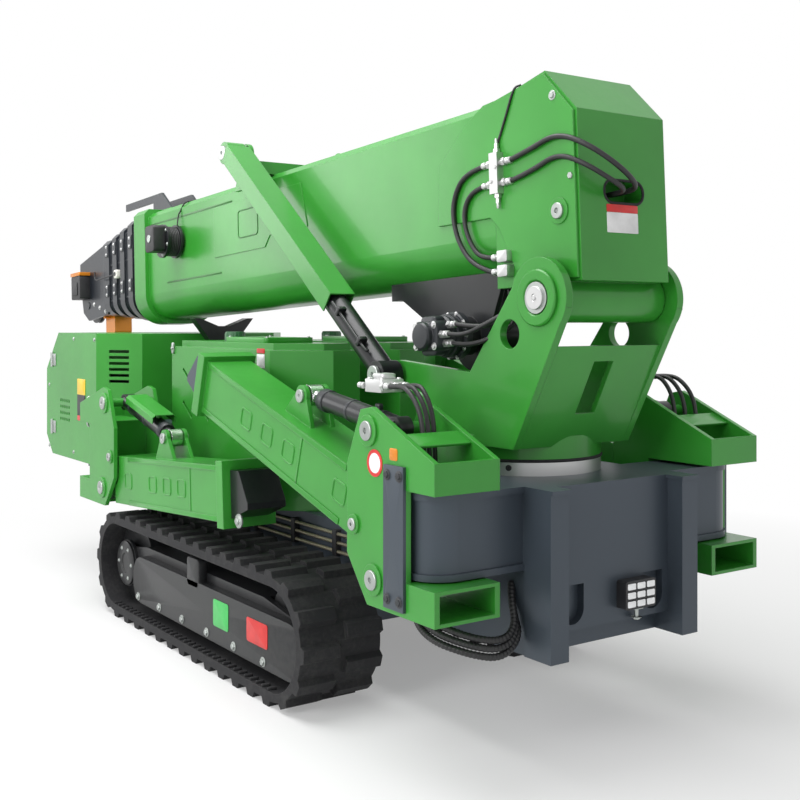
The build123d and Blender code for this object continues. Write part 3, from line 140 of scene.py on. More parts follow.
class Sock:
    """One node socket whose arithmetic adds Math nodes."""

    def __init__(self, tree: bpy.types.NodeTree, socket: bpy.types.NodeSocket) -> None:
        """Wraps a socket of a node tree."""
        self.tree = tree
        self.socket = socket

    def math(self, operation: str, *others: "Value", clamp: bool = False) -> "Sock":
        """Joins this value with others in one Math node.

        Args:
            operation: The Math node's operation.
            others: Numbers or sockets for its other inputs.
            clamp: Whether the result stays between 0 and 1.

        Returns:
            The node's value.
        """
        node = self.tree.nodes.new("ShaderNodeMath")
        node.operation = operation
        node.use_clamp = clamp
        for place, value in enumerate((self, *others)):
            if isinstance(value, Sock):
                self.tree.links.new(value.socket, node.inputs[place])
            else:
                node.inputs[place].default_value = float(value)
        return Sock(self.tree, node.outputs[0])

    def _constant(self, value: float) -> "Sock":
        """Socket of a plain number, for reflected operators."""
        node = self.tree.nodes.new("ShaderNodeValue")
        node.outputs[0].default_value = float(value)
        return Sock(self.tree, node.outputs[0])

    def __add__(self, other: "Value") -> "Sock":
        """Sum."""
        return self.math("ADD", other)

    __radd__ = __add__

    def __mul__(self, other: "Value") -> "Sock":
        """Product."""
        return self.math("MULTIPLY", other)

    __rmul__ = __mul__

    def __sub__(self, other: "Value") -> "Sock":
        """Difference."""
        return self.math("SUBTRACT", other)

    def __rsub__(self, other: float) -> "Sock":
        """Number less this value."""
        return self._constant(other).math("SUBTRACT", self)

    def __truediv__(self, other: "Value") -> "Sock":
        """Quotient."""
        return self.math("DIVIDE", other)

    def clamped(self) -> "Sock":
        """The value held between 0 and 1."""
        return self.math("ADD", 0.0, clamp=True)


Value = Union[Sock, float]


class ShaderMaker:
    """Builds one material's node tree."""

    def __init__(self, name: str) -> None:
        """Starts an empty material.

        Args:
            name: The material's name.
        """
        self.material = bpy.data.materials.new(name)
        self.material.use_nodes = True
        self.tree = self.material.node_tree
        self.tree.nodes.clear()

    def node(self, kind: str, settings: dict | None = None, inputs: dict | None = None) -> bpy.types.Node:
        """Adds any node.

        Args:
            kind: The node's type.
            settings: Properties, set before the sockets; "stops" fills a ramp.
            inputs: Values or links of sockets, by name or by number.

        Returns:
            The new node.
        """
        node = self.tree.nodes.new(kind)
        for name, value in (settings or {}).items():
            if name == "stops":
                self._set_stops(node.color_ramp, value)
            else:
                setattr(node, name, value)
        for name, value in (inputs or {}).items():
            if isinstance(value, Sock):
                self.tree.links.new(value.socket, node.inputs[name])
            else:
                node.inputs[name].default_value = value
        return node

    @staticmethod
    def _set_stops(ramp: bpy.types.ColorRamp, stops: Sequence[tuple[float, float]]) -> None:
        """Fills a ramp with grey stops given as (position, level)."""
        while len(ramp.elements) < len(stops):
            ramp.elements.new(0.5)
        for element, (position, level) in zip(ramp.elements, stops):
            element.position = position
            element.color = (level, level, level, 1.0)

    def out(self, node: bpy.types.Node, name: str | int = 0) -> Sock:
        """Output of a node as a Sock."""
        return Sock(self.tree, node.outputs[name])

    def place(self) -> Sock:
        """Object coordinates."""
        return self.out(self.node("ShaderNodeTexCoord"), "Object")

    def height(self) -> Sock:
        """Height above the ground."""
        split = self.node("ShaderNodeSeparateXYZ", inputs={"Vector": self.place()})
        return self.out(split, "Z")

    def noise(self, scale: float, detail: float = 3.0, rough: float = 0.55, stretch: Point | None = None) -> Sock:
        """Cloudy values about 0.5.

        Args:
            scale: Clouds in a metre.
            detail: Octaves.
            rough: Strength of the finer octaves.
            stretch: Scale along each axis, for streaks.

        Returns:
            The noise's value.
        """
        where = self.place()
        if stretch is not None:
            where = self.out(self.node("ShaderNodeMapping", inputs={"Vector": where, "Scale": tuple(stretch)}))
        inputs = {"Vector": where, "Scale": scale, "Detail": detail, "Roughness": rough}
        return self.out(self.node("ShaderNodeTexNoise", inputs=inputs), 0)

    def ramp(self, value: Sock, low: float, high: float) -> Sock:
        """Value spread so that low gives 0 and high gives 1."""
        stops = ((low, 0.0), (high, 1.0))
        return self.out(self.node("ShaderNodeValToRGB", {"stops": stops}, {"Fac": value}), 0)

    def mix(self, factor: Value, first: Union[Sock, Colour], second: Union[Sock, Colour]) -> Sock:
        """Colour between two colours."""
        node = self.tree.nodes.new("ShaderNodeMix")
        node.data_type = "RGBA"
        for place, value in ((0, factor), (6, first), (7, second)):
            if isinstance(value, Sock):
                self.tree.links.new(value.socket, node.inputs[place])
            elif place == 0:
                node.inputs[0].default_value = float(value)
            else:
                node.inputs[place].default_value = (*value, 1.0)
        return Sock(self.tree, node.outputs[2])

    def rounded_normal(self, radius: float) -> Sock:
        """Normal that rounds the edges of sharp metal."""
        return self.out(self.node("ShaderNodeBevel", {"samples": 4}, {"Radius": radius}))

    def edges(self, rounded: Sock) -> Sock:
        """Mask that is 0 on flats and rises towards sharp edges."""
        plain = self.out(self.node("ShaderNodeNewGeometry"), "Normal")
        dot = self.node("ShaderNodeVectorMath", {"operation": "DOT_PRODUCT"}, {0: rounded, 1: plain})
        return self.ramp(1.0 - self.out(dot, "Value"), 0.02, 0.22)

    def bump(self, height: Sock, strength: float, distance: float, normal: Sock | None = None) -> Sock:
        """Normal bent by a height."""
        inputs = {"Height": height, "Strength": strength, "Distance": distance}
        if normal is not None:
            inputs["Normal"] = normal
        return self.out(self.node("ShaderNodeBump", inputs=inputs))

    def finish(self, **sockets: object) -> bpy.types.Material:
        """Adds the surface shader and the output.

        Args:
            sockets: Principled inputs, with underscores for spaces.

        Returns:
            The finished material.
        """
        inputs = {}
        for name, value in sockets.items():
            known = name.replace("_", " ")
            inputs[known] = (*value, 1.0) if isinstance(value, tuple) and len(value) == 3 else value
        surface = self.node("ShaderNodeBsdfPrincipled", inputs=inputs)
        self.node("ShaderNodeOutputMaterial", inputs={"Surface": self.out(surface)})
        return self.material


@dataclass(frozen=True)
class Paint:
    """Sprayed machine paint: soft mottling, orange peel, dust low down and paler sharp edges, partly wear and partly a
    painted highlight.
    """

    name: str
    colour: Colour
    roughness: float = 0.34
    coat: float = 0.22
    dust: float = 0.06
    dust_colour: Colour = (0.26, 0.245, 0.22)
    # Share of the paler colour on sharp edges: edge wear and a painted highlight.
    edge_lift: float = 0.22
    edge_radius: float = 0.005
    peel: float = 0.05
    beyond: tuple[tuple[tuple[float, float, float], float], ...] = ()
    beyond_colour: Colour = (0.014, 0.018, 0.025)

    def _past_planes(self, maker: ShaderMaker) -> Sock:
        """1 where a point lies beyond every plane of this paint's second field."""
        both: Sock | None = None
        for direction, distance in self.beyond:
            dot = maker.node("ShaderNodeVectorMath", {"operation": "DOT_PRODUCT"}, {0: maker.place(), 1: direction})
            past = maker.out(dot, "Value").math("GREATER_THAN", distance)
            both = past if both is None else both * past
        return both

    def build(self) -> bpy.types.Material:
        """Material of this paint."""
        maker = ShaderMaker(self.name)
        clouds = maker.noise(1.7, 4.0)
        grain = maker.noise(34.0, 5.0)
        dark = tuple(0.86 * level for level in self.colour)
        pale = tuple(min(1.0, 1.10 * level + 0.002) for level in self.colour)
        rounded = maker.rounded_normal(self.edge_radius)
        coat = maker.mix(maker.ramp(clouds, 0.32, 0.70), dark, pale)
        if self.beyond:
            coat = maker.mix(self._past_planes(maker), coat, self.beyond_colour)
        # Paler colour on sharp edges: partly edge wear, partly a painted highlight where light catches the edge.
        worn = tuple(0.85 * level + 0.16 for level in self.colour)
        coat = maker.mix(maker.edges(rounded) * self.edge_lift, coat, worn)
        low = (1.0 - maker.height() / 1.1).clamped()
        dusty = (low * maker.ramp(grain, 0.38, 0.72) * self.dust).clamped()
        colour = maker.mix(dusty, coat, self.dust_colour)
        rough = (self.roughness - 0.05) + 0.10 * grain + 0.35 * dusty
        normal = maker.bump(maker.noise(420.0, 2.0), self.peel, 0.0006, rounded)
        return maker.finish(
            Base_Color=colour,
            Roughness=rough.clamped(),
            Normal=normal,
            Coat_Weight=self.coat,
            Coat_Roughness=0.10,
            Specular_IOR_Level=0.38,
        )


@dataclass(frozen=True)
class Rubber:
    """Moulded black rubber with grey dust in the grain and paler sharp edges, partly wear and partly a painted
    highlight.
    """

    name: str
    colour: Colour = (0.016, 0.016, 0.018)
    worn: Colour = (0.075, 0.073, 0.070)
    roughness: float = 0.72
    edge_radius: float = 0.005

    def build(self) -> bpy.types.Material:
        """Material of this rubber."""
        maker = ShaderMaker(self.name)
        grain = maker.noise(60.0, 6.0, 0.65)
        clouds = maker.noise(6.0, 3.0)
        rounded = maker.rounded_normal(self.edge_radius)
        # Grey dust in the grain, plus paler sharp edges that are partly wear and partly a painted highlight.
        worn = (maker.ramp(grain * clouds, 0.22, 0.55) * 0.55 + maker.edges(rounded) * 0.35).clamped()
        normal = maker.bump(maker.noise(240.0, 4.0), 0.18, 0.0012, rounded)
        rough = (self.roughness - 0.08) + 0.16 * clouds
        return maker.finish(
            Base_Color=maker.mix(worn, self.colour, self.worn),
            Roughness=rough.clamped(),
            Normal=normal,
            Specular_IOR_Level=0.35,
        )


@dataclass(frozen=True)
class Steel:
    """Bare or plated steel with fine machining lines."""

    name: str
    colour: Colour = (0.62, 0.62, 0.62)
    roughness: float = 0.28
    lines: Point = (40.0, 40.0, 900.0)
    edge_radius: float = 0.002

    def build(self) -> bpy.types.Material:
        """Material of this steel."""
        maker = ShaderMaker(self.name)
        lines = maker.noise(1.0, 2.0, 0.5, self.lines)
        clouds = maker.noise(9.0, 4.0)
        stained = tuple(0.55 * level for level in self.colour)
        rounded = maker.rounded_normal(self.edge_radius)
        colour = maker.mix(maker.ramp(clouds, 0.45, 0.75) * 0.5, self.colour, stained)
        rough = self.roughness * 0.7 + 0.35 * self.roughness * lines + 0.15 * clouds
        return maker.finish(
            Base_Color=colour,
            Metallic=0.92,
            Roughness=rough.clamped(),
            Normal=maker.bump(lines, 0.08, 0.0004, rounded),
        )


@dataclass(frozen=True)
class Plastic:
    """Moulded plastic, hose cover or enamelled sign."""

    name: str
    colour: Colour
    roughness: float = 0.45
    grain: float = 0.10
    scale: float = 320.0
    glow: float = 0.0

    def build(self) -> bpy.types.Material:
        """Material of this plastic."""
        maker = ShaderMaker(self.name)
        clouds = maker.noise(14.0, 3.0)
        pale = tuple(min(1.0, 1.25 * level + 0.01) for level in self.colour)
        colour = maker.mix(maker.ramp(clouds, 0.35, 0.75), self.colour, pale)
        rough = (self.roughness - 0.06) + 0.12 * clouds
        sockets = {
            "Base_Color": colour,
            "Roughness": rough.clamped(),
            "Normal": maker.bump(maker.noise(self.scale, 2.0), self.grain, 0.0006),
        }
        if self.glow > 0.0:
            sockets["Emission_Color"] = self.colour
            sockets["Emission_Strength"] = self.glow
        return maker.finish(**sockets)


def guide_field() -> tuple[tuple[tuple[float, float, float], float], ...]:
    """Planes behind which the boom's base section is its dark hose guide."""
    pin = joint_place("boom_luff")
    square, along = BOOM.square, BOOM.along
    return ((tuple(square), float(square @ pin) + 0.772), (tuple(along), float(along @ pin) + 3.3))


class Finish(Enum):
    """Every finish on the crane."""

    GREEN = Paint("machine_green", (0.036, 0.300, 0.030))
    BOOM_GREEN = Paint("boom_green", (0.036, 0.300, 0.030), beyond=guide_field())
    # Darker copy of the machine green: painted shade in the pressed lines and the pocket's groove.
    SEAM = Paint("seam_green", (0.020, 0.165, 0.017))
    CAST = Paint("cast_dark", (0.022, 0.025, 0.030), roughness=0.42, coat=0.1, edge_lift=0.30)
    GREY = Paint("chassis_grey", (0.038, 0.046, 0.060), roughness=0.42, coat=0.15, dust=0.06, edge_lift=0.16)
    BLACK = Paint("black_paint", (0.009, 0.010, 0.012), roughness=0.36, coat=0.15, dust=0.05, edge_lift=0.16)
    # Strong edge share on the dark sections: painted highlight lines along the edges of sections, pads and rails.
    BOOM_DARK = Paint("boom_dark", (0.014, 0.018, 0.025), roughness=0.36, coat=0.2, dust=0.02, edge_lift=0.55)
    TRACK_STEEL = Paint("track_frame_black", (0.012, 0.013, 0.015), roughness=0.42, coat=0.1, dust=0.08, edge_lift=0.16)
    ORANGE = Paint("hook_orange", (0.78, 0.27, 0.02), roughness=0.34)
    RUBBER = Rubber("track_rubber")
    STEEL = Steel("bright_steel")
    CHROME = Steel("rod_chrome", (0.78, 0.78, 0.79), 0.12, (900.0, 30.0, 30.0))
    PIN_STEEL = Steel("pin_steel", (0.46, 0.49, 0.47), 0.38)
    PIPE = Steel("pipe_plated", (0.60, 0.54, 0.40), 0.34)
    HOSE = Plastic("hose_cover", (0.012, 0.012, 0.013), 0.48, 0.25, 700.0)
    PLASTIC = Plastic("black_plastic", (0.016, 0.016, 0.018), 0.50)
    CAP_GREEN = Plastic("cap_green", (0.018, 0.100, 0.034), 0.42)
    BONE = Plastic("roller_white", (0.74, 0.72, 0.67), 0.45)
    WHITE = Plastic("sign_white", (0.80, 0.80, 0.80), 0.35, 0.03)
    RED = Plastic("sign_red", (0.62, 0.020, 0.018), 0.35, 0.03)
    YELLOW = Plastic("sign_yellow", (0.80, 0.52, 0.02), 0.35, 0.03)
    SIGN_GREEN = Plastic("sign_green", (0.05, 0.48, 0.10), 0.35, 0.03)
    CELL = Plastic("lamp_cell", (0.86, 0.87, 0.88), 0.12, 0.05, 160.0, 0.12)

    def material(self) -> bpy.types.Material:
        """The finish's material, built on first use."""
        found = bpy.data.materials.get(self.value.name)
        return found if found is not None else self.value.build()


class MeshStore:
    """Gathers grids of points and joins them into one mesh."""

    def __init__(self) -> None:
        """Starts an empty store."""
        self.points: list[Array] = []
        self.faces: list[Array] = []
        self.count = 0

    def grid(self, points: Array, wrap_u: bool = False, wrap_v: bool = False) -> None:
        """Adds a surface given as a grid of points.

        The quad at (i, j) joins rows i, i + 1 and columns j, j + 1.

        Args:
            points: Array of shape (rows, columns, 3).
            wrap_u: Whether the last row joins the first.
            wrap_v: Whether the last column joins the first.
        """
        rows, columns = points.shape[:2]
        number = np.arange(rows * columns).reshape(rows, columns) + self.count
        if wrap_u:
            number = np.concatenate([number, number[:1]], axis=0)
        if wrap_v:
            number = np.concatenate([number, number[:, :1]], axis=1)
        quads = np.stack([number[:-1, :-1], number[:-1, 1:], number[1:, 1:], number[1:, :-1]], axis=-1)
        self.points.append(points.reshape(-1, 3))
        self.faces.append(quads.reshape(-1, 4))
        self.count += rows * columns

    def put(self, points: Array, place: Array, wrap_u: bool = False) -> None:
        """Adds a surface whose columns wrap, moved by a matrix.

        Args:
            points: Grid of shape (rows, columns, 3).
            place: Matrix of 4 by 4.
            wrap_u: Whether the last row joins the first.
        """
        self.grid(points @ place[:3, :3].T + place[:3, 3], wrap_u=wrap_u, wrap_v=True)

    def copies(self, points: Array, wrap_v: bool, matrices: Array) -> None:
        """Adds the same surface at many places.

        Args:
            points: Grid of shape (rows, columns, 3).
            wrap_v: Whether its last column joins the first.
            matrices: Array of shape (n, 4, 4).
        """
        flat = np.concatenate([points.reshape(-1, 3), np.ones((points.shape[0] * points.shape[1], 1))], axis=1)
        placed = np.einsum("nij,mj->nmi", matrices, flat)[:, :, :3]
        for one in placed:
            self.grid(one.reshape(points.shape), wrap_v=wrap_v)

    def build(self, name: str, finish: Finish, body: str, smooth: float = 35.0) -> bpy.types.Object:
        """Makes the object and lets it ride on a body.

        Args:
            name: The piece's name.
            finish: Its finish.
            body: The CAD body that it moves with.
            smooth: Largest angle in degrees that is shaded as round.

        Returns:
            The new object.
        """
        mesh = bpy.data.meshes.new(name)
        points = np.concatenate(self.points)
        faces = np.concatenate(self.faces)
        mesh.from_pydata(points.tolist(), [], faces.tolist())
        mesh.validate()
        mesh.update()
        piece = bpy.data.objects.new(name, mesh)
        bpy.context.scene.collection.objects.link(piece)
        mend_mesh(mesh)
        mesh.set_sharp_from_angle(angle=math.radians(smooth))
        mesh.materials.append(finish.material())
        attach(piece, body)
        LOG.info("%s rides on %s with %d faces", name, body, len(mesh.polygons))
        return piece


def mend_mesh(mesh: bpy.types.Mesh) -> None:
    """Merges doubled points and turns every face outwards.

    Args:
        mesh: The mesh to mend.
    """
    work = bmesh.new()
    work.from_mesh(mesh)
    bmesh.ops.remove_doubles(work, verts=work.verts, dist=1e-6)
    bmesh.ops.dissolve_degenerate(work, edges=work.edges, dist=1e-7)
    bmesh.ops.recalc_face_normals(work, faces=work.faces)
    for face in work.faces:
        face.smooth = True
    work.to_mesh(mesh)
    work.free()


def basis(origin: Point, normal: Point, up: Point = (0.0, 0.0, 1.0)) -> Array:
    """Matrix that stands a piece drawn about Z on a surface.

    Args:
        origin: Where the piece's origin goes.
        normal: Where its Z points.
        up: Rough direction of its Y.

    Returns:
        A 4 by 4 matrix.
    """
    axis_z = np.array(normal, float) / np.linalg.norm(normal)
    guide = np.array(up, float)
    if abs(guide @ axis_z) > 0.98:
        guide = np.array((1.0, 0.0, 0.0))
    axis_x = np.cross(guide, axis_z)
    axis_x /= np.linalg.norm(axis_x)
    made = np.eye(4)
    made[:3, 0] = axis_x
    made[:3, 1] = np.cross(axis_z, axis_x)
    made[:3, 2] = axis_z
    made[:3, 3] = origin
    return made


def spin(profile: Sequence[tuple[float, float]], segments: int = 24) -> Array:
    """Surface of revolution: a profile of (radius, height) turned about Z.

    Args:
        profile: Points from the bottom centre to the top centre.
        segments: Steps round the axis.

    Returns:
        Grid of shape (len(profile), segments, 3); its columns wrap.
    """
    turn = np.linspace(0.0, 2.0 * np.pi, segments, endpoint=False)
    radius, height = np.array(profile, float).T
    x = radius[:, None] * np.cos(turn)[None, :]
    y = radius[:, None] * np.sin(turn)[None, :]
    z = np.repeat(height[:, None], segments, axis=1)
    return np.stack([x, y, z], axis=-1)


def round_outline(width: float, height: float, radius: float, steps: int = 6) -> Array:
    """Outline of a rectangle with quarter-circle corners, anticlockwise.

    Args:
        width: Size along X.
        height: Size along Y.
        radius: Corner radius.
        steps: Points in each corner.

    Returns:
        Array of shape (4 * steps, 2).
    """
    angle = np.linspace(0.0, 0.5 * np.pi, steps)
    corner = radius * np.stack([np.cos(angle), np.sin(angle)], axis=-1)
    reach = np.array((width / 2 - radius, height / 2 - radius))
    quarter = np.array([[1, 1], [-1, 1], [-1, -1], [1, -1]])
    turned = []
    for number, sign in enumerate(quarter):
        spin_matrix = np.array([[0, -1], [1, 0]])
        turned.append(corner @ np.linalg.matrix_power(spin_matrix, number).T + reach * sign)
    return np.concatenate(turned)


def slab(outline: Array, low: float, high: float, bevel: float) -> Array:
    """Closed slab: an outline carried up from low to high, drawn in at both edges.

    Args:
        outline: Closed outline in XY, anticlockwise and star-shaped about its middle.
        low: Height of the bottom.
        high: Height of the top.
        bevel: Width of the edge's rounding.

    Returns:
        Grid of rings from the bottom's middle to the top's middle; columns wrap.
    """
    middle = outline.mean(axis=0)
    span = np.abs(outline - middle).max()
    shrink = 1.0 - bevel / span
    rings = [(0.0, low), (shrink, low), (1.0 - 0.3 * (1 - shrink), low + 0.3 * bevel), (1.0, low + bevel)]
    rings += [(1.0, high - bevel), (1.0 - 0.3 * (1 - shrink), high - 0.3 * bevel), (shrink, high), (0.0, high)]
    layers = [np.column_stack([middle + (outline - middle) * share, np.full(len(outline), z)]) for share, z in rings]
    return np.stack(layers)


def tube(path: Array, radius: Union[float, Array], segments: int = 12) -> Array:
    """Round section carried along a path, with rings square to it.

    Args:
        path: Points of shape (n, 3).
        radius: Radius of the section, or one for each point.
        segments: Points round the section.

    Returns:
        Grid of shape (n, segments, 3); its columns wrap.
    """
    along = np.gradient(path, axis=0)
    along /= np.linalg.norm(along, axis=1, keepdims=True)
    guide = np.eye(3)[np.abs(along).max(axis=0).argmin()]
    first = np.cross(guide, along)
    first /= np.linalg.norm(first, axis=1, keepdims=True)
    second = np.cross(along, first)
    turn = np.linspace(0.0, 2.0 * np.pi, segments, endpoint=False)
    ring = first[:, None] * np.cos(turn)[None, :, None] + second[:, None] * np.sin(turn)[None, :, None]
    return path[:, None] + np.broadcast_to(radius, len(path))[:, None, None] * ring


BOLT_HEX = 6
# How deep an added piece sits in the surface that carries it.
SEAT = 0.0005


def bolt_profile(size: float) -> list[tuple[float, float]]:
    """Profile of a hexagon head: flats, a chamfer and a flat top."""
    return [(size, 0.0), (size, 0.55 * size), (0.86 * size, 0.70 * size), (0.0, 0.70 * size)]


def washer_profile(size: float) -> list[tuple[float, float]]:
    """Profile of the round washer under a bolt head."""
    return [(1.45 * size, 0.0), (1.45 * size, 0.16 * size), (1.35 * size, 0.20 * size), (0.0, 0.20 * size)]


def add_bolts(store: MeshStore, places: Iterable[tuple[Point, Point]], size: float) -> None:
    """Adds hexagon bolts with washers.

    Args:
        store: Where their surfaces go.
        places: Pairs of a point on the surface and the surface's normal.
        size: Radius over the corners of the head.
    """
    matrices = np.stack([basis(point, normal) for point, normal in places])
    store.copies(spin(washer_profile(size), 16), True, matrices)
    store.copies(spin(bolt_profile(size), BOLT_HEX), True, matrices)


@dataclass
class Studio:
    """Pale floor, soft lamps and the camera at the photograph's viewpoint."""

    camera_place: tuple[float, float, float] = (5.335, -2.856, 1.50)
    camera_heading: float = 55.156
    lens: float = 50.62
    horizon_shift: float = -0.0983
    floor_half: float = 40.0
    floor_middle: tuple[float, float, float] = (0.9, 0.2, 0.0)
    shade_reach: float = 4.6
    floor_colour: Colour = (0.90, 0.90, 0.90)
    sky: float = 0.46

    def build(self) -> None:
        """Makes floor, world, lamps and camera."""
        self._floor()
        self._world()
        self._lamps()
        self._camera()
        bpy.context.scene.view_settings.view_transform = "Standard"

    @staticmethod
    def _seen(maker: ShaderMaker) -> Sock:
        """1 for rays from the camera, from a reflection or through glass."""
        path = maker.node("ShaderNodeLightPath")
        seen = maker.out(path, "Is Camera Ray").math("MAXIMUM", maker.out(path, "Is Glossy Ray"))
        return seen.math("MAXIMUM", maker.out(path, "Is Transmission Ray"))

    def _floor(self) -> None:
        """Flat floor that keeps the shadow near the crane and fades to white further out."""
        half = self.floor_half
        steps = np.linspace(-half, half, 3)
        grid = np.stack(np.meshgrid(steps, steps, indexing="ij") + [np.zeros((3, 3))], axis=-1)
        store = MeshStore()
        store.grid(grid)
        mesh = bpy.data.meshes.new("floor")
        mesh.from_pydata(np.concatenate(store.points).tolist(), [], np.concatenate(store.faces).tolist())
        floor = bpy.data.objects.new("floor", mesh)
        bpy.context.scene.collection.objects.link(floor)
        maker = ShaderMaker("floor_white")
        mottle = maker.ramp(maker.noise(0.6, 2.0), 0.2, 0.8)
        colour = maker.mix(mottle, self.floor_colour, tuple(0.98 * level for level in self.floor_colour))
        lit = maker.node("ShaderNodeBsdfDiffuse", inputs={"Color": colour})
        white = maker.node("ShaderNodeEmission", inputs={"Color": (1.0, 1.0, 1.0, 1.0), "Strength": 1.0})
        settings = {"operation": "DISTANCE"}
        away = maker.node("ShaderNodeVectorMath", settings, {0: maker.place(), 1: self.floor_middle})
        far = maker.ramp(maker.out(away, "Value") / self.shade_reach, 0.30, 0.98)
        share = (0.30 + 0.70 * far).clamped() * self._seen(maker)
        both = maker.node("ShaderNodeMixShader", inputs={0: share, 1: maker.out(lit), 2: maker.out(white)})
        maker.node("ShaderNodeOutputMaterial", inputs={"Surface": maker.out(both)})
        mesh.materials.append(maker.material)

    def _world(self) -> None:
        """Even white surroundings; white where the camera or a reflection sees them."""
        world = bpy.data.worlds.new("studio")
        world.use_nodes = True
        tree = world.node_tree
        tree.nodes.clear()
        path = tree.nodes.new("ShaderNodeLightPath")
        seen = Sock(tree, path.outputs["Is Camera Ray"])
        for ray in ("Is Glossy Ray", "Is Transmission Ray"):
            seen = seen.math("MAXIMUM", Sock(tree, path.outputs[ray]))
        strength = self.sky + seen * (1.0 - self.sky)
        light = tree.nodes.new("ShaderNodeBackground")
        light.inputs["Color"].default_value = (1.0, 1.0, 1.0, 1.0)
        tree.links.new(strength.socket, light.inputs["Strength"])
        output = tree.nodes.new("ShaderNodeOutputWorld")
        tree.links.new(light.outputs[0], output.inputs["Surface"])
        bpy.context.scene.world = world

    def _lamps(self) -> None:
        """Three soft boxes: overhead, beside the camera and behind the engine end."""
        lamps = (
            ("overhead", (0.2, -1.4, 6.0), (0.0, 0.0, 1.0), 4.0, 300.0),
            ("right_front", (3.0, -7.0, 3.6), (0.2, 0.0, 1.2), 3.0, 200.0),
            ("engine_end", (-6.0, -4.5, 3.5), (-0.5, 0.0, 1.2), 3.0, 100.0),
        )
        for name, place, aim, size, power in lamps:
            light = bpy.data.lights.new(name, "AREA")
            light.size = size
            light.energy = power
            lamp = bpy.data.objects.new(name, light)
            away = np.array(place) - np.array(aim)
            lamp.matrix_world = bpy_matrix(basis(place, away))
            bpy.context.scene.collection.objects.link(lamp)

    def _camera(self) -> None:
        """Camera that looks level, with the horizon above the middle of the picture."""
        data = bpy.data.cameras.new("view")
        data.lens = self.lens
        data.sensor_width = 36.0
        data.shift_y = self.horizon_shift
        camera = bpy.data.objects.new("view", data)
        camera.location = self.camera_place
        camera.rotation_euler = (math.radians(90.0), 0.0, math.radians(self.camera_heading))
        bpy.context.scene.collection.objects.link(camera)
        bpy.context.scene.camera = camera


def bpy_matrix(array: Array) -> Matrix:
    """A numpy matrix as Blender's own."""
    return Matrix(array.tolist())


@dataclass
class CadFinishes:
    """Finishes of the CAD nodes, by the start of their names."""

    green: tuple[str, ...] = ("engine_hood", "side_tank", "turret", "boom_root", "luff_rods", "bracket", "arm")
    grey: tuple[str, ...] = ("chassis_frame",)
    dark: tuple[str, ...] = ("boom_section", "boom_head")
    black: tuple[str, ...] = (
        "boom_rest", "winch", "cable_reel", "luff_barrels", "engine_block", "cylinder_barrel", "head_sheaves",
    )
    track: tuple[str, ...] = ("track_frame", "track_wheels")
    rubber: tuple[str, ...] = ("track_belt",)
    steel: tuple[str, ...] = ("slew_ring", "valve_block")
    pins: tuple[str, ...] = ("boom_foot_pin",)
    chrome: tuple[str, ...] = ("cylinder_rod",)
    orange: tuple[str, ...] = ("hook_block",)
    plastic: tuple[str, ...] = ("work_lamp",)

    def finish_of(self, node: str) -> Finish:
        """Finish of one node by the start of its name."""
        if node == "boom_base":
            return Finish.BOOM_GREEN
        if node.startswith("beam_front"):
            return Finish.GREY
        if node.startswith("beam"):
            return Finish.BLACK
        table = (
            (self.green, Finish.GREEN),
            (self.grey, Finish.GREY),
            (self.dark, Finish.BOOM_DARK),
            (self.black, Finish.BLACK),
            (self.track, Finish.TRACK_STEEL),
            (self.rubber, Finish.RUBBER),
            (self.steel, Finish.STEEL),
            (self.pins, Finish.PIN_STEEL),
            (self.chrome, Finish.CHROME),
            (self.orange, Finish.ORANGE),
            (self.plastic, Finish.PLASTIC),
        )
        return next(finish for starts, finish in table if node.startswith(starts))

    def dress(self) -> None:
        """Gives every node its finish."""
        for name, node in frame["nodes"].items():
            node.data.materials.clear()
            node.data.materials.append(self.finish_of(name).material())


def flowing(points: Sequence[Point], steps: int = 10) -> Array:
    """Smooth line through stations: each run is the cubic that keeps its neighbours' slopes.

    Args:
        points: The stations.
        steps: Points worked out on each run.

    Returns:
        Array of shape (n, 3).
    """
    stations = np.array(points, float)
    first = 2.0 * stations[:1] - stations[1:2]
    last = 2.0 * stations[-1:] - stations[-2:-1]
    ends = np.concatenate([first, stations, last])[:, None]
    t = np.linspace(0.0, 1.0, steps, endpoint=False)[None, :, None]
    before, start, end, after = ends[:-3], ends[1:-2], ends[2:-1], ends[3:]
    square = 2.0 * before - 5.0 * start + 4.0 * end - after
    cube = 3.0 * start - before - 3.0 * end + after
    runs = 0.5 * (2.0 * start + (end - before) * t + square * t**2 + cube * t**3)
    return np.concatenate([runs.reshape(-1, 3), stations[-1:]])


def rod(path: Array, radius: Union[float, Array], segments: int = 12) -> Array:
    """Round section carried along a path and closed at both ends.

    Args:
        path: Points of shape (n, 3).
        radius: One radius, or one for each point.
        segments: Points round the section.

    Returns:
        Grid whose columns wrap.
    """
    rings = tube(path, radius, segments)
    first = np.repeat(path[:1, None], segments, axis=1)
    last = np.repeat(path[-1:, None], segments, axis=1)
    return np.concatenate([first, rings, last])


def hoop(radius: float, thick: float, segments: int = 48, sides: int = 10) -> Array:
    """Ring about Z: a circle of radius thick carried round a circle of the given radius."""
    turn = np.linspace(0.0, 2.0 * np.pi, sides, endpoint=False)
    return spin(np.column_stack([radius + thick * np.cos(turn), thick * np.sin(turn)]), segments)


def add_plate(store: MeshStore, place: Array, size: tuple[float, float, float], corner: float = 0.004) -> None:
    """Adds a rounded plate that stands on a surface.

    Args:
        store: Where its surface goes.
        place: Matrix with the plate's middle and its outward Z.
        size: Width, height and thickness.
        corner: Radius of its corners.
    """
    width, height, thick = size
    outline = round_outline(width, height, min(corner, 0.49 * width, 0.49 * height))
    store.put(slab(outline, 0.0, thick, 0.3 * min(thick, 0.006)), place)


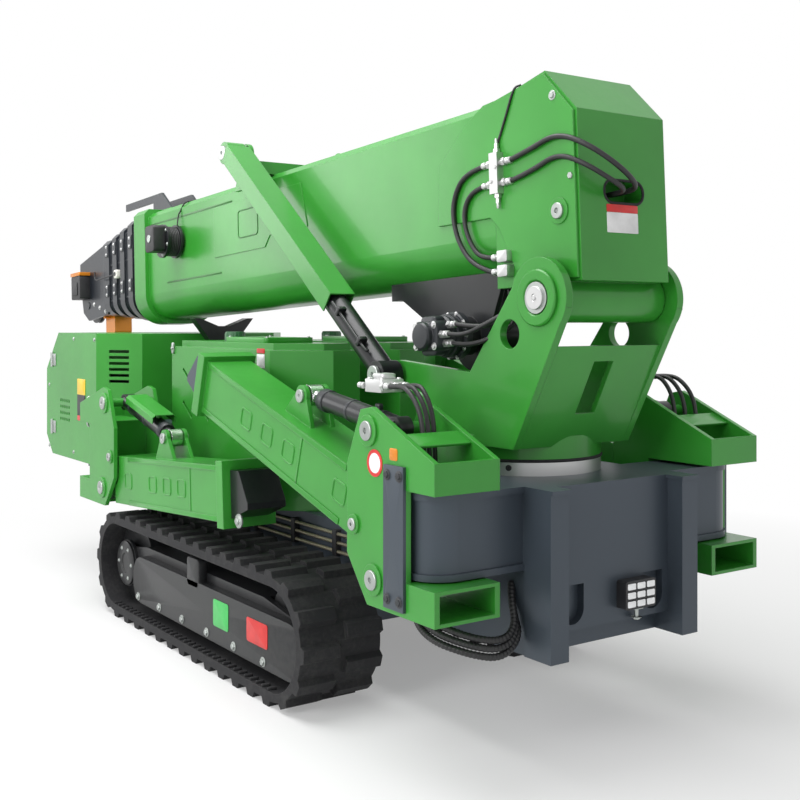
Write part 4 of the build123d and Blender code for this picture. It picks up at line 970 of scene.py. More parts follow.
def cap_profile(radius: float, height: float, bore: float = 0.0) -> list[tuple[float, float]]:
    """Profile of a turned pin end: a chamfered disc with a shallow centre hole."""
    edge = 0.16 * height
    rim = [(radius, 0.0), (radius, height - edge), (radius - edge, height)]
    return rim + ([(bore, height), (0.8 * bore, 0.55 * height), (0.0, 0.55 * height)] if bore else [(0.0, height)])


@dataclass
class HoseMaker:
    """Free hoses between two fittings, each on one smooth spline through its route."""

    spacing: float = 0.0022

    def spline(self, points: Sequence[Point]) -> Array:
        """Points read from the route's NURBS spline.

        Args:
            points: The route's control points.

        Returns:
            Evenly spaced points of shape (n, 3).
        """
        data = bpy.data.curves.new("route", "CURVE")
        data.dimensions = "3D"
        data.resolution_u = 40
        line = data.splines.new("NURBS")
        line.points.add(len(points) - 1)
        line.points.foreach_set("co", np.column_stack([np.array(points, float), np.ones(len(points))]).ravel())
        line.order_u = 3
        line.use_endpoint_u = True
        route = bpy.data.objects.new("route", data)
        bpy.context.scene.collection.objects.link(route)
        mesh = bpy.data.meshes.new_from_object(route)
        found = np.empty(3 * len(mesh.vertices))
        mesh.vertices.foreach_get("co", found)
        bpy.data.objects.remove(route)
        bpy.data.curves.remove(data)
        bpy.data.meshes.remove(mesh)
        found = found.reshape(-1, 3)
        reach = np.concatenate([[0.0], np.cumsum(np.linalg.norm(np.diff(found, axis=0), axis=1))])
        even = np.linspace(0.0, reach[-1], max(24, int(reach[-1] / self.spacing)))
        return np.column_stack([np.interp(even, reach, axis) for axis in found.T])

    def build(
        self,
        name: str,
        points: Sequence[Point],
        radius: float,
        body: str,
        ribbed: float = 0.0,
        fitting: Union[bpy.types.Object, None] = None,
    ) -> None:
        """The radius goes up and down along the hose as a cosine of the length, which gives its ribs.

        Args:
            name: The piece's name.
            points: The route's control points.
            radius: Outer radius.
            body: The body that holds both its ends.
            ribbed: Length of one rib, or 0 for a smooth hose.
            fitting: The piece on its far end; not used.
        """
        path = self.spline(points)
        reach = np.concatenate([[0.0], np.cumsum(np.linalg.norm(np.diff(path, axis=0), axis=1))])
        swell = 0.06 * np.cos(2.0 * np.pi * reach / ribbed) - 0.06 if ribbed else np.zeros_like(reach)
        thick = radius * (1.0 + swell)
        if not ribbed:
            keep = np.unique(np.linspace(0, len(path) - 1, max(12, len(path) // 6)).astype(int))
            path, thick = path[keep], thick[keep]
        store = MeshStore()
        store.grid(rod(path, thick, 12), wrap_v=True)
        piece = store.build(name, Finish.HOSE, body, 60.0)


def add_fitting(store: MeshStore, end: Point, away: Point, radius: float = 0.012) -> None:
    """Adds a hose end: a hexagon nut and a crimped sleeve on one axis.

    Args:
        store: Where its surfaces go.
        end: The point where the nut meets its port.
        away: Direction from the port along the hose.
        radius: Radius of the sleeve.
    """
    place = basis(end, away)
    nut = [(0.0, 0.0), (1.25 * radius, 0.0), (1.25 * radius, 1.3 * radius), (0.0, 1.3 * radius)]
    sleeve = [(0.85, 1.3), (0.85, 1.7), (1.05, 1.8), (1.05, 2.5), (0.98, 2.6)]
    sleeve += [(1.05, 2.7), (1.05, 3.6), (0.8, 3.8), (0.0, 3.8)]
    store.put(spin(nut, 6), place)
    store.put(spin([(wide * radius, high * radius) for wide, high in sleeve], 14), place)


@dataclass
class Tracks:
    """Covers, bolts, blank plates and inner ribs of both tracks."""

    cover_y: float = 0.735
    bolt_reach: tuple[float, float] = (0.02, 1.33)
    bolt_z: float = 0.138
    bolt_count: int = 6
    hub_place: tuple[float, float] = (-0.190, 0.265)
    hub_y: float = 0.708
    cover_foot: float = 0.690
    cover_place: tuple[float, float, float, float] = (0.7925, 0.223, 1.695, 0.226)
    tab_place: tuple[float, float, float, float] = (0.655, 0.372, 0.126, 0.132)
    hub_ring: float = 0.082
    green_plate: tuple[float, float, float, float] = (0.947, 0.243, 0.145, 0.116)
    red_plate: tuple[float, float, float, float] = (1.279, 0.242, 0.180, 0.098)
    rib_reach: tuple[float, float] = (-0.20, 1.44)
    rib_count: int = 34
    rib_place: tuple[float, float] = (0.754, 0.0598)

    def build(self) -> None:
        """Makes the pieces of both sides."""
        for side in Side:
            self._cover(side)
            self._bolts(side)
            self._ribs(side)
        self._plate(Side.RIGHT, "track_plate_green", self.green_plate, Finish.SIGN_GREEN)
        self._plate(Side.RIGHT, "track_plate_red", self.red_plate, Finish.RED)

    def _cover(self, side: Side) -> None:
        """Long cover with rounded ends, its tab and the hub's disc."""
        out = (0.0, side.value, 0.0)
        store = MeshStore()
        thick = self.cover_y - self.cover_foot
        for (x, z, width, height), corner in ((self.cover_place, 0.105), (self.tab_place, 0.020)):
            matrix = basis((x, side.value * self.cover_foot, z), out)
            store.put(slab(round_outline(width, height, corner, 9), 0.0, thick, 0.006), matrix)
        x, z = self.hub_place
        hub = [(0.112, 0.0), (0.112, 0.012), (0.106, 0.016), (0.050, 0.016), (0.046, 0.010), (0.0, 0.010)]
        store.put(spin(hub, 40), basis((x, side.value * self.hub_y, z), out))
        store.build(f"track_cover_{side.tag}", Finish.TRACK_STEEL, "chassis")

    def _bolts(self, side: Side) -> None:
        """Bolts along the cover's lower edge and round the hub."""
        out = (0.0, side.value, 0.0)
        store = MeshStore()
        reach = np.linspace(*self.bolt_reach, self.bolt_count)
        add_bolts(store, [((x, side.value * self.cover_y, self.bolt_z), out) for x in reach], 0.014)
        x, z = self.hub_place
        turn = np.linspace(0.0, 2.0 * np.pi, 6, endpoint=False)
        ring = np.column_stack([x + self.hub_ring * np.cos(turn), z + self.hub_ring * np.sin(turn)])
        add_bolts(store, [((px, side.value * (self.hub_y + 0.0155), pz), out) for px, pz in ring], 0.007)
        store.build(f"track_bolts_{side.tag}", Finish.PIN_STEEL, "chassis")

    def _plate(self, side: Side, name: str, place: tuple[float, float, float, float], finish: Finish) -> None:
        """Blank plate on the cover."""
        x, z, width, height = place
        store = MeshStore()
        matrix = basis((x, side.value * self.cover_y, z), (0.0, side.value, 0.0))
        add_plate(store, matrix, (width, height, 0.0025), 0.012)
        store.build(f"{name}_{side.tag}", finish, "chassis")

    def _ribs(self, side: Side) -> None:
        """Moulded ribs on the inner face of the lower run: a wedge repeated along X."""
        y, z = self.rib_place
        outline = round_outline(0.012, 0.036, 0.004, 3)
        wedge = slab(outline, 0.0, 0.012, 0.003)
        reach = np.linspace(*self.rib_reach, self.rib_count)
        store = MeshStore()
        up, slant = (0.0, 0.0, 1.0), (0.3, 1.0, 0.0)
        store.copies(wedge, True, np.stack([basis((x, side.value * y, z), up, slant) for x in reach]))
        store.build(f"belt_ribs_{side.tag}", Finish.RUBBER, "chassis")


@dataclass
class ChassisFittings:
    """Lamp cells, slew seal, pipes along the frame and the ribbed hoses under its slew end."""

    lamp_cells: int = 3
    lamp_rib: float = 0.008
    lamp_proud: float = 0.005
    ring_seal: tuple[float, float] = (0.2905, 0.006)
    ring_seal_z: float = 0.9990
    pipe_y: float = 0.366
    pipe_heights: tuple[float, ...] = (0.605, 0.568, 0.531)
    pipe_reach: tuple[float, float] = (0.52, 1.70)
    pipe_radius: float = 0.0075
    hose_count: int = 3
    hose_radius: float = 0.013

    def build(self) -> None:
        """Makes every fitting of the chassis."""
        self._lamp()
        self._ring()
        for side in Side:
            self._pipes(side)
            self._hoses(side)

    def _lamp(self) -> None:
        """Clear cells on the lamp's front, and the clamp that holds it."""
        low, high = node_box("work_lamp")
        middle = (low + high) / 2
        step = (high - low)[1:] - self.lamp_rib
        step = step / self.lamp_cells
        outline = round_outline(step[0] - self.lamp_rib - 0.001, step[1] - self.lamp_rib - 0.001, 0.004)
        lens = slab(outline, 0.0, self.lamp_proud, 0.0022)
        reach = np.arange(self.lamp_cells) - (self.lamp_cells - 1) / 2
        places = [
            basis((high[0] - SEAT, middle[1] + step[0] * i, middle[2] + step[1] * j), (1.0, 0.0, 0.0))
            for i in reach
            for j in reach
        ]
        store = MeshStore()
        store.copies(lens, True, np.stack(places))
        store.build("lamp_cells", Finish.CELL, "chassis")
        clamp = MeshStore()
        foot = (middle[0], middle[1], low[2])
        add_plate(clamp, basis(foot, (0.0, 0.0, -1.0), (1.0, 0.0, 0.0)), (0.045, 0.03, 0.006))
        clamp.put(rod(np.array([foot, (foot[0], foot[1], foot[2] - 0.035)]), 0.008), np.eye(4))
        add_bolts(clamp, [((foot[0], foot[1], foot[2] - 0.034), (0.0, 0.0, -1.0))], 0.013)
        clamp.build("lamp_clamp", Finish.PIN_STEEL, "chassis")

    def _ring(self) -> None:
        """Black seal under the bright slew ring, and its grease nipple."""
        centre = joint_place("slew")
        seal = MeshStore()
        place = basis((centre[0], centre[1], self.ring_seal_z), (0.0, 0.0, 1.0))
        seal.put(hoop(*self.ring_seal, 72), place, wrap_u=True)
        seal.build("slew_seal", Finish.RUBBER, "chassis", 60.0)
        nipple = MeshStore()
        out = np.array((math.cos(math.radians(-52.0)), math.sin(math.radians(-52.0)), 0.0))
        foot = np.array((centre[0], centre[1], 0.974)) + self.ring_seal[0] * out - 0.002 * out
        nipple.put(spin(cap_profile(0.011, 0.006, 0.006), 18), basis(foot, out))
        nipple.build("slew_nipple", Finish.PLASTIC, "chassis")

    def _pipes(self, side: Side) -> None:
        """Three bright pipes along the frame's side, in black clamps."""
        y = side.value * self.pipe_y
        pipes, clamps = MeshStore(), MeshStore()
        for z in self.pipe_heights:
            line = np.array([(x, y, z) for x in self.pipe_reach])
            pipes.put(rod(line, self.pipe_radius), np.eye(4))
        for x in np.linspace(self.pipe_reach[0] + 0.06, self.pipe_reach[1] - 0.06, 4):
            matrix = basis((x, side.value * 0.349, self.pipe_heights[1]), (0.0, side.value, 0.0))
            add_plate(clamps, matrix, (0.030, 0.110, 0.029), 0.006)
        pipes.build(f"frame_pipes_{side.tag}", Finish.PIPE, "chassis", 60.0)
        clamps.build(f"pipe_clamps_{side.tag}", Finish.PLASTIC, "chassis")

    def _hoses(self, side: Side) -> None:
        """Ribbed hoses that hang from the frame's side, under the swivel bracket, to its end."""
        maker = HoseMaker()
        for number in range(self.hose_count):
            drop = 0.036 * number
            route = [
                (1.96 + 0.02 * number, 0.350, 0.585 - 0.8 * drop),
                (2.02, 0.420, 0.575 - 0.8 * drop),
                (2.12, 0.545 + 0.3 * drop, 0.525 - 0.6 * drop),
                (2.30, 0.615 + 0.3 * drop, 0.490 - 0.7 * drop),
                (2.43, 0.545 + 0.2 * drop, 0.455 - 0.7 * drop),
                (2.475, 0.450, 0.440 - 0.8 * drop),
                (2.465, 0.385 - 0.3 * drop, 0.480 - 0.5 * drop),
                (2.43, 0.375, 0.560 - 0.4 * drop),
                (2.40, 0.350, 0.610 - 0.3 * drop),
            ]
            points = [(x, side.value * y, z) for x, y, z in route]
            maker.build(f"frame_hose_{number + 1}_{side.tag}", points, self.hose_radius, "chassis", 0.0135)


@dataclass
class Bodywork:
    """Blank panels, filler cap, hatch and hardware of the hood and both tanks."""

    hood_y: float = 0.600
    panel_x: float = -1.205
    panel_width: float = 0.135
    panel_parts: tuple[tuple[float, float, Finish], ...] = (
        (1.112, 0.094, Finish.YELLOW),
        (1.003, 0.124, Finish.PLASTIC),
        (0.926, 0.030, Finish.RED),
    )
    tank_y: float = 0.460
    cap_place: tuple[float, float, float] = (0.180, 0.285, 1.398)
    cap_size: tuple[float, float] = (0.0515, 0.050)
    plate_place: tuple[float, float] = (0.790, 1.330)
    hatch_place: tuple[float, float, float] = (0.52, 0.275, 1.398)
    hatch_size: tuple[float, float, float] = (0.42, 0.26, 0.026)

    def build(self) -> None:
        """Makes the pieces of both sides."""
        for side in Side:
            self._hardware(side)
            self._tank(side)
        self._panel(Side.RIGHT)
        self._tank_plate(Side.RIGHT)

    def _panel(self, side: Side) -> None:
        """Three blank fields of the panel on the hood's side."""
        for z, height, finish in self.panel_parts:
            store = MeshStore()
            matrix = basis((self.panel_x, side.value * self.hood_y, z), (0.0, side.value, 0.0))
            add_plate(store, matrix, (self.panel_width, height, 0.0025), 0.006)
            store.build(f"hood_panel_{finish.name.lower()}_{side.tag}", finish, "chassis")

    def _hardware(self, side: Side) -> None:
        """Handle, hinges and screws of the hood's door."""
        y = side.value * self.hood_y
        out = (0.0, side.value, 0.0)
        store = MeshStore()
        grip = [(-1.02, y, 0.90), (-1.02, y + side.value * 0.024, 0.90), (-1.02, y + side.value * 0.028, 0.94)]
        grip += [(-1.02, y + side.value * 0.028, 1.02), (-1.02, y + side.value * 0.024, 1.06), (-1.02, y, 1.06)]
        store.put(rod(flowing(grip, 6), 0.007), np.eye(4))
        for z in (0.84, 1.26):
            hinge = np.array([(-1.735, y + side.value * 0.005, z - 0.045), (-1.735, y + side.value * 0.005, z + 0.045)])
            store.put(rod(hinge, 0.010), np.eye(4))
            add_plate(store, basis((-1.700, y, z), out), (0.055, 0.075, 0.004), 0.006)
        places = ((-1.80, 0.715), (-1.80, 1.100), (-1.34, 0.715), (-1.34, 1.395), (-0.985, 0.715), (-0.985, 1.395))
        screws = [((x, y, z), out) for x, z in places]
        add_bolts(store, screws, 0.008)
        store.build(f"hood_hardware_{side.tag}", Finish.PIN_STEEL, "chassis")

    def _tank(self, side: Side) -> None:
        """Ribbed filler cap, raised hatch and corner latch of one tank."""
        x, y, z = self.cap_place
        radius, height = self.cap_size
        turn = np.linspace(0.0, 2.0 * np.pi, 72, endpoint=False)
        grip = 1.0 + 0.02 * np.sign(np.sin(18.0 * turn))[None, :, None]
        shape = spin([(radius, 0.0), (radius, 0.8 * height), (0.9 * radius, height), (0.0, height)], 72)
        shape[:2, :, :2] *= grip
        cap = MeshStore()
        cap.put(shape, basis((x, side.value * y, z), (0.0, 0.0, 1.0)))
        cap.build(f"tank_cap_{side.tag}", Finish.CAP_GREEN, "chassis")
        hatch = MeshStore()
        hx, hy, hz = self.hatch_place
        place = basis((hx, side.value * hy, hz), (0.0, 0.0, 1.0), (0.0, 1.0, 0.0))
        add_plate(hatch, place, self.hatch_size, 0.02)
        hatch.build(f"tank_hatch_{side.tag}", Finish.GREEN, "chassis")
        steel = MeshStore()
        corners = [(hx + dx, side.value * hy + dy) for dx in (-0.19, 0.19) for dy in (-0.11, 0.11)]
        add_bolts(steel, [((px, py, hz + self.hatch_size[2]), (0.0, 0.0, 1.0)) for px, py in corners], 0.008)
        out = (0.0, side.value, 0.0)
        latch = basis((-0.180, side.value * self.tank_y, 1.360), out)
        add_plate(steel, latch, (0.024, 0.060, 0.010), 0.012)
        steel.put(spin(cap_profile(0.008, 0.016), 14), latch)
        steel.build(f"tank_hardware_{side.tag}", Finish.PIN_STEEL, "chassis")

    def _tank_plate(self, side: Side) -> None:
        """Blank plate near the tank's upper corner, white with a red field."""
        out = (0.0, side.value, 0.0)
        px, pz = self.plate_place
        for name, dz, high, finish in (("white", -0.010, 0.062, Finish.WHITE), ("red", 0.036, 0.022, Finish.RED)):
            plate = MeshStore()
            add_plate(plate, basis((px, side.value * self.tank_y, pz + dz), out), (0.075, high, 0.002), 0.003)
            plate.build(f"tank_plate_{name}_{side.tag}", finish, "chassis")


@dataclass
class TurretFittings:
    """Bosses and pin ends at the boom's foot."""

    pin_y: float = 0.2965

    def build(self) -> None:
        """Makes the turret's pieces."""
        pin = joint_place("boom_luff")
        ends, boss = MeshStore(), MeshStore()
        rim = [(0.058, 0.0), (0.098, 0.0), (0.098, 0.010), (0.093, 0.014), (0.063, 0.014), (0.058, 0.010)]
        for side in Side:
            out = (0.0, side.value, 0.0)
            boss.put(spin(rim, 40), basis((pin[0], side.value * 0.2845, pin[2]), out), wrap_u=True)
            ends.put(spin(cap_profile(0.040, 0.008, 0.014), 32), basis((pin[0], side.value * self.pin_y, pin[2]), out))
            add_bolts(ends, [((pin[0], side.value * (self.pin_y + 0.004), pin[2]), out)], 0.009)
        boss.build("foot_pin_boss", Finish.GREEN, "turret")
        ends.build("foot_pin_ends", Finish.STEEL, "turret")


@dataclass
class Winch:
    """Hydraulic motor on the drum's right-hand end, with its ports and hoses."""

    drum: tuple[float, float] = (0.560, -0.110)
    face_y: float = -0.199
    hose_radius: float = 0.009

    def build(self) -> None:
        """Makes the motor, its bolts, its fittings and its hoses."""
        s, n = self.drum
        centre = BOOM.point(s, 0.0, n)
        place = BOOM.frame(s, self.face_y, n)
        body = MeshStore()
        rings = [(0.0, 0.0), (0.092, 0.0), (0.092, 0.026), (0.086, 0.031), (0.078, 0.031), (0.078, 0.046)]
        rings += [(0.084, 0.048), (0.084, 0.060), (0.078, 0.062), (0.078, 0.078), (0.070, 0.086), (0.0, 0.086)]
        body.put(spin(rings, 40), place)
        block = slab(round_outline(0.150, 0.112, 0.026), 0.084, 0.158, 0.008)
        body.put(block, place)
        body.put(slab(round_outline(0.096, 0.150, 0.020), 0.094, 0.142, 0.007), place)
        body.put(spin([(0.052, 0.156), (0.052, 0.176), (0.046, 0.184), (0.020, 0.186), (0.0, 0.186)], 28), place)
        body.build("winch_motor", Finish.CAST, "boom")
        bolts = MeshStore()
        turn = np.linspace(0.0, 2.0 * np.pi, 10, endpoint=False)
        ring = [centre + 0.085 * (np.cos(a) * BOOM.along + np.sin(a) * BOOM.square) for a in turn]
        add_bolts(bolts, [((p[0], self.face_y - 0.026, p[2]), (0.0, -1.0, 0.0)) for p in ring], 0.0075)
        corners = [(du, dn) for du in (-0.058, 0.058) for dn in (-0.040, 0.040)]
        face = self.face_y - 0.158
        heads = [BOOM.point(s + du, face, n + dn) for du, dn in corners]
        add_bolts(bolts, [(p, (0.0, -1.0, 0.0)) for p in heads], 0.010)
        self._hoses()
        bolts.build("winch_motor_bolts", Finish.STEEL, "boom")

    def _hoses(self) -> None:
        """Three hoses from the motor's ports back to the hanger plate."""
        s, n = self.drum
        back = -BOOM.along
        maker = HoseMaker()
        ports = ((0.040, 0.030), (-0.030, 0.022), (0.004, 0.016))
        for number, (rise, step) in enumerate(ports):
            y = self.face_y - 0.100 - 0.018 * number
            start = BOOM.point(s - 0.074, y, n + rise)
            sleeve = MeshStore()
            add_fitting(sleeve, start, back, 0.0125)
            end = sleeve.build(f"winch_hose_end_{number + 1}", Finish.STEEL, "boom")
            first = start + 0.046 * back
            lift = 0.02 * number
            route = [
                first,
                first + 0.075 * back + (0.0, 0.004, -0.012),
                first + np.array((0.165, 0.035, -0.006 + lift)),
                first + np.array((0.245, 0.110, 0.055 + lift)),
                np.array((2.185, -0.185 + step, 1.585 + 0.5 * lift)),
                np.array((2.150, -0.144, 1.605 + 0.5 * lift)),
            ]
            maker.build(f"winch_hose_{number + 1}", route[::-1], self.hose_radius, "boom", fitting=end)


@dataclass
class BoomFittings:
    """Seams, signs, valve ends, reel cable and bolts of the boom's base and root."""

    root_y: float = 0.2195
    seam_runs: tuple[tuple[float, float, float, float], ...] = ((2.44, 0.664, 3.78, 0.664), (2.58, 0.300, 3.30, 0.300))
    sign_place: tuple[float, float] = (-0.011, 1.853)
    sign_size: tuple[float, float] = (0.150, 0.098)
    reel: tuple[float, float] = (3.120, 0.520)

    def build(self) -> None:
        """Makes every fitting of the boom's body."""
        self._seams()
        self._sign()
        self._root()
        self._valve()
        self._reel()

    def _seams(self) -> None:
        """Pressed lines on the boom's sides: a flat bead along each line, darker green as painted shade of the crease.
        """
        store = MeshStore()
        for side in Side:
            for s0, n0, s1, n1 in self.seam_runs:
                middle = BOOM.frame((s0 + s1) / 2, side.value * 0.2095, (n0 + n1) / 2, (0.0, side.value, 0.0))
                add_plate(store, middle, (s1 - s0, 0.010, 0.0022), 0.005)
        store.build("boom_seams", Finish.SEAM, "boom")

    def _sign(self) -> None:
        """Blank sign below the slot in the root's rear face."""
        y, z = self.sign_place
        width, height = self.sign_size
        lean = BOOM.along * -1.0
        rear = BOOM.point(-0.140, y, 0.0)
        rise = (z - rear[2]) / BOOM.square[2]
        for name, shift, high_part, finish in (
            ("white", -0.014, height - 0.028, Finish.WHITE),
            ("red", height / 2 - 0.014, 0.027, Finish.RED),
        ):
            store = MeshStore()
            place = basis(BOOM.point(-0.1395, y, rise + shift), lean, BOOM.square)
            add_plate(store, place, (width, high_part, 0.0025), 0.004)
            store.build(f"root_sign_{name}", finish, "boom")

    def _root(self) -> None:
        """Boss, bolts and a rubber edge round the slot of the root."""
        store = MeshStore()
        boss = MeshStore()
        for side in Side:
            out = (0.0, side.value, 0.0)
            y = side.value * self.root_y
            boss.put(spin(cap_profile(0.046, 0.007), 32), basis((2.497, y - side.value * 0.002, 1.877), out))
            store.put(spin(cap_profile(0.028, 0.014, 0.010), 28), basis((2.497, y, 1.877), out))
            add_bolts(store, [((2.463, y, 2.277), out), ((2.553, y - side.value * 0.002, 1.992), out)], 0.012)
        boss.build("root_boss", Finish.GREEN, "boom")
        store.build("root_bolts", Finish.PIN_STEEL, "boom")
        edge = MeshStore()
        outline = round_outline(0.190, 0.080, 0.0395, 12)
        rear = BOOM.point(-0.1395, 0.0, 0.360)
        place = basis(rear, -BOOM.along, BOOM.square)
        path = np.column_stack([outline, np.zeros(len(outline))]) @ place[:3, :3].T + rear
        path = np.concatenate([path, path[:1]])
        edge.grid(tube(path, 0.005, 8), wrap_v=True)
        edge.build("root_slot_edge", Finish.RUBBER, "boom", 60.0)

    def _valve(self) -> None:
        """Stems of the valve block, the hose ends on it and at the ports, and its thin cable."""
        steel = MeshStore()
        y = -0.2303
        for n, sign in ((0.545, 1.0), (0.395, -1.0)):
            start = BOOM.point(0.260, y, n - 0.002 * sign)
            place = basis(start, sign * BOOM.square)
            steel.put(spin([(0.014, 0.0), (0.014, 0.016), (0.009, 0.018), (0.009, 0.036), (0.0, 0.036)], 6), place)
            steel.put(spin([(0.006, 0.036), (0.006, 0.050), (0.004, 0.055), (0.0, 0.055)], 12), place)
        for n in (0.5075, 0.4325):
            for s, away in ((0.305, BOOM.along), (0.215, -BOOM.along)):
                add_fitting(steel, BOOM.point(s, y, n) - 0.012 * away, away, 0.0125)
        add_fitting(steel, BOOM.point(0.250, y, 0.112), BOOM.along, 0.0125)
        add_fitting(steel, BOOM.point(0.250, y, 0.165), BOOM.along, 0.0125)
        screws = [BOOM.point(0.260 + ds, -0.2502, 0.470 + dn) for ds, dn in ((-0.012, 0.02), (0.012, -0.03))]
        add_bolts(steel, [(p, (0.0, -1.0, 0.0)) for p in screws], 0.006)
        steel.build("valve_fittings", Finish.STEEL, "boom")
        cable = MeshStore()
        path = [(2.150, -0.226, 2.090), (2.178, -0.2245, 2.150), (2.216, -0.2245, 2.228)]
        path += [(2.262, -0.222, 2.326), (2.285, -0.206, 2.345)]
        cable.put(rod(flowing(path, 8), 0.0042, 8), np.eye(4))
        cable.build("root_cable", Finish.HOSE, "boom", 60.0)

    def _reel(self) -> None:
        """Cable wound on the reel, the reel's bolts, and the thin lead over the boom's edge."""
        s, n = self.reel
        wound = MeshStore()
        rows = np.linspace(-0.236, -0.296, 7)
        for y in rows:
            wound.put(hoop(0.0800, 0.0052, 40, 8), BOOM.frame(s, float(y), n), wrap_u=True)
        route = [(0.02, -0.232, n + 0.086), (0.02, -0.222, n + 0.150), (0.03, -0.2155, 0.690)]
        route += [(0.05, -0.196, 0.737), (0.10, -0.165, 0.7475), (0.22, -0.120, 0.7475)]
        lead = [BOOM.point(s - back, y, height) for back, y, height in route]
        wound.put(rod(flowing(lead, 8), 0.0042, 8), np.eye(4))
        wound.build("reel_cable", Finish.HOSE, "boom", 60.0)
        bolts = MeshStore()
        turn = np.linspace(0.3, 2.0 * np.pi + 0.3, 6, endpoint=False)
        rim = [BOOM.point(s + 0.082 * np.cos(a), -0.3200, n + 0.082 * np.sin(a)) for a in turn]
        add_bolts(bolts, [(p, (0.0, -1.0, 0.0)) for p in rim], 0.0075)
        box = MeshStore()
        box.put(slab(round_outline(0.125, 0.150, 0.020), 0.0, 0.074, 0.006), BOOM.frame(s, -0.3195, n + 0.01))
        box.build("reel_box", Finish.PLASTIC, "boom")
        face = BOOM.point(s, -0.3930, n + 0.01)
        bolts.put(spin(cap_profile(0.022, 0.005, 0.013), 24), basis(face, (0.0, -1.0, 0.0)))
        bolts.build("reel_bolts", Finish.PIN_STEEL, "boom")


@dataclass
class BoomHoses:
    """Four hoses beside the boom's root: two down to its ports, two round into its rear slot."""

    y: float = -0.2303
    radius: float = 0.0095
    routes: tuple[tuple[tuple[float, float, float], ...], ...] = (
        ((0.338, 0.0, 0.506), (0.450, 0.0, 0.498), (0.520, 0.0, 0.420), (0.530, 0.0, 0.330),
         (0.490, 0.0, 0.225), (0.400, 0.0, 0.140), (0.296, 0.0, 0.113)),
        ((0.338, 0.0, 0.432), (0.410, 0.0, 0.425), (0.462, 0.0, 0.365), (0.455, 0.0, 0.280),
         (0.400, 0.0, 0.195), (0.345, 0.0, 0.170), (0.296, 0.0, 0.166)),
        ((0.182, 0.0, 0.508), (0.080, 0.0, 0.526), (-0.060, 0.0, 0.560), (-0.190, 0.020, 0.500),
         (-0.243, 0.120, 0.420), (-0.215, 0.225, 0.368), (-0.130, 0.250, 0.362), (-0.060, 0.250, 0.362)),
        ((0.182, 0.0, 0.433), (0.080, 0.0, 0.448), (-0.060, 0.0, 0.490), (-0.170, 0.020, 0.440),
         (-0.222, 0.095, 0.380), (-0.200, 0.180, 0.356), (-0.130, 0.190, 0.352), (-0.060, 0.190, 0.352)),
    )

    def build(self) -> None:
        """Makes the hoses and the ports."""
        maker = HoseMaker()
        for number, route in enumerate(self.routes):
            points = [BOOM.point(s, self.y + across, n) for s, across, n in route]
            maker.build(f"boom_hose_{number + 1}", points, self.radius, "boom", 0.006 if number in (1, 3) else 0.0)
        ports = MeshStore()
        for n in (0.113, 0.166):
            add_plate(ports, BOOM.frame(0.232, -0.2100, n), (0.055, 0.042, 0.036), 0.006)
        ports.build("hose_ports", Finish.STEEL, "boom")


@dataclass
class BoomPlates:
    """Side plates of the root, raised panels of the base section and their pockets."""

    root_outline: tuple[tuple[float, float], ...] = (
        (-0.130, 0.062), (0.085, 0.062), (0.184, 0.112), (0.275, 0.276), (0.319, 0.315), (0.639, 0.320),
        (0.624, 0.554), (0.457, 0.683), (0.343, 0.737), (0.270, 0.742), (0.012, 0.783), (-0.130, 0.628),
    )
    panel_outline: tuple[tuple[float, float], ...] = (
        (1.661, 0.440), (2.031, 0.440), (2.086, 0.385), (2.661, 0.385), (2.661, 0.655), (1.716, 0.655),
    )
    pocket: tuple[float, float, float, float] = (2.261, 0.530, 0.215, 0.140)

    def build(self) -> None:
        """Makes the plates of both sides."""
        for side in Side:
            self._plate(f"root_side_{side.tag}", self.root_outline, (0.300, 0.450), 0.2095, 0.0105, side)
            self._plate(f"boom_panel_{side.tag}", self.panel_outline, (2.20, 0.52), 0.2095, 0.0045, side)
            self._pocket(side)

    @staticmethod
    def _plate(name: str, outline: Sequence[Point], middle: Point, foot: float, thick: float, side: Side) -> None:
        """Plate on the boom's side: an outline in s and n carried outwards.

        Args:
            name: The piece's name.
            outline: Its corners as (s, n).
            middle: A point from which every corner is seen.
            foot: Distance of its inner face from the boom's middle.
            thick: Its thickness.
            side: The side that it is on.
        """
        corners = np.array(outline, float)
        centre = np.array(middle, float)
        shares = np.array([0.0, 1.0, 1.0, 0.997, 0.0])
        depths = np.array([0.0, 0.0, 0.75, 1.0, 1.0]) * thick
        flat = centre + (corners - centre)[None] * shares[:, None, None]
        points = BOOM.point(0.0, 0.0, 0.0) + flat[..., :1] * BOOM.along + flat[..., 1:] * BOOM.square
        points[..., 1] += side.value * (foot + depths)[:, None]
        store = MeshStore()
        store.grid(points, wrap_v=True)
        store.build(name, Finish.GREEN, "boom", 30.0)

    def _pocket(self, side: Side) -> None:
        """Pressed pocket of the panel: a round bead along a rounded outline, darker green as painted shade of its
        groove.
        """
        s, n, width, height = self.pocket
        place = BOOM.frame(s, side.value * 0.2140, n, (0.0, side.value, 0.0))
        store = MeshStore()
        add_bead(store, place, width, height, 0.020, 0.0035)
        store.build(f"panel_pocket_{side.tag}", Finish.SEAM, "boom", 60.0)


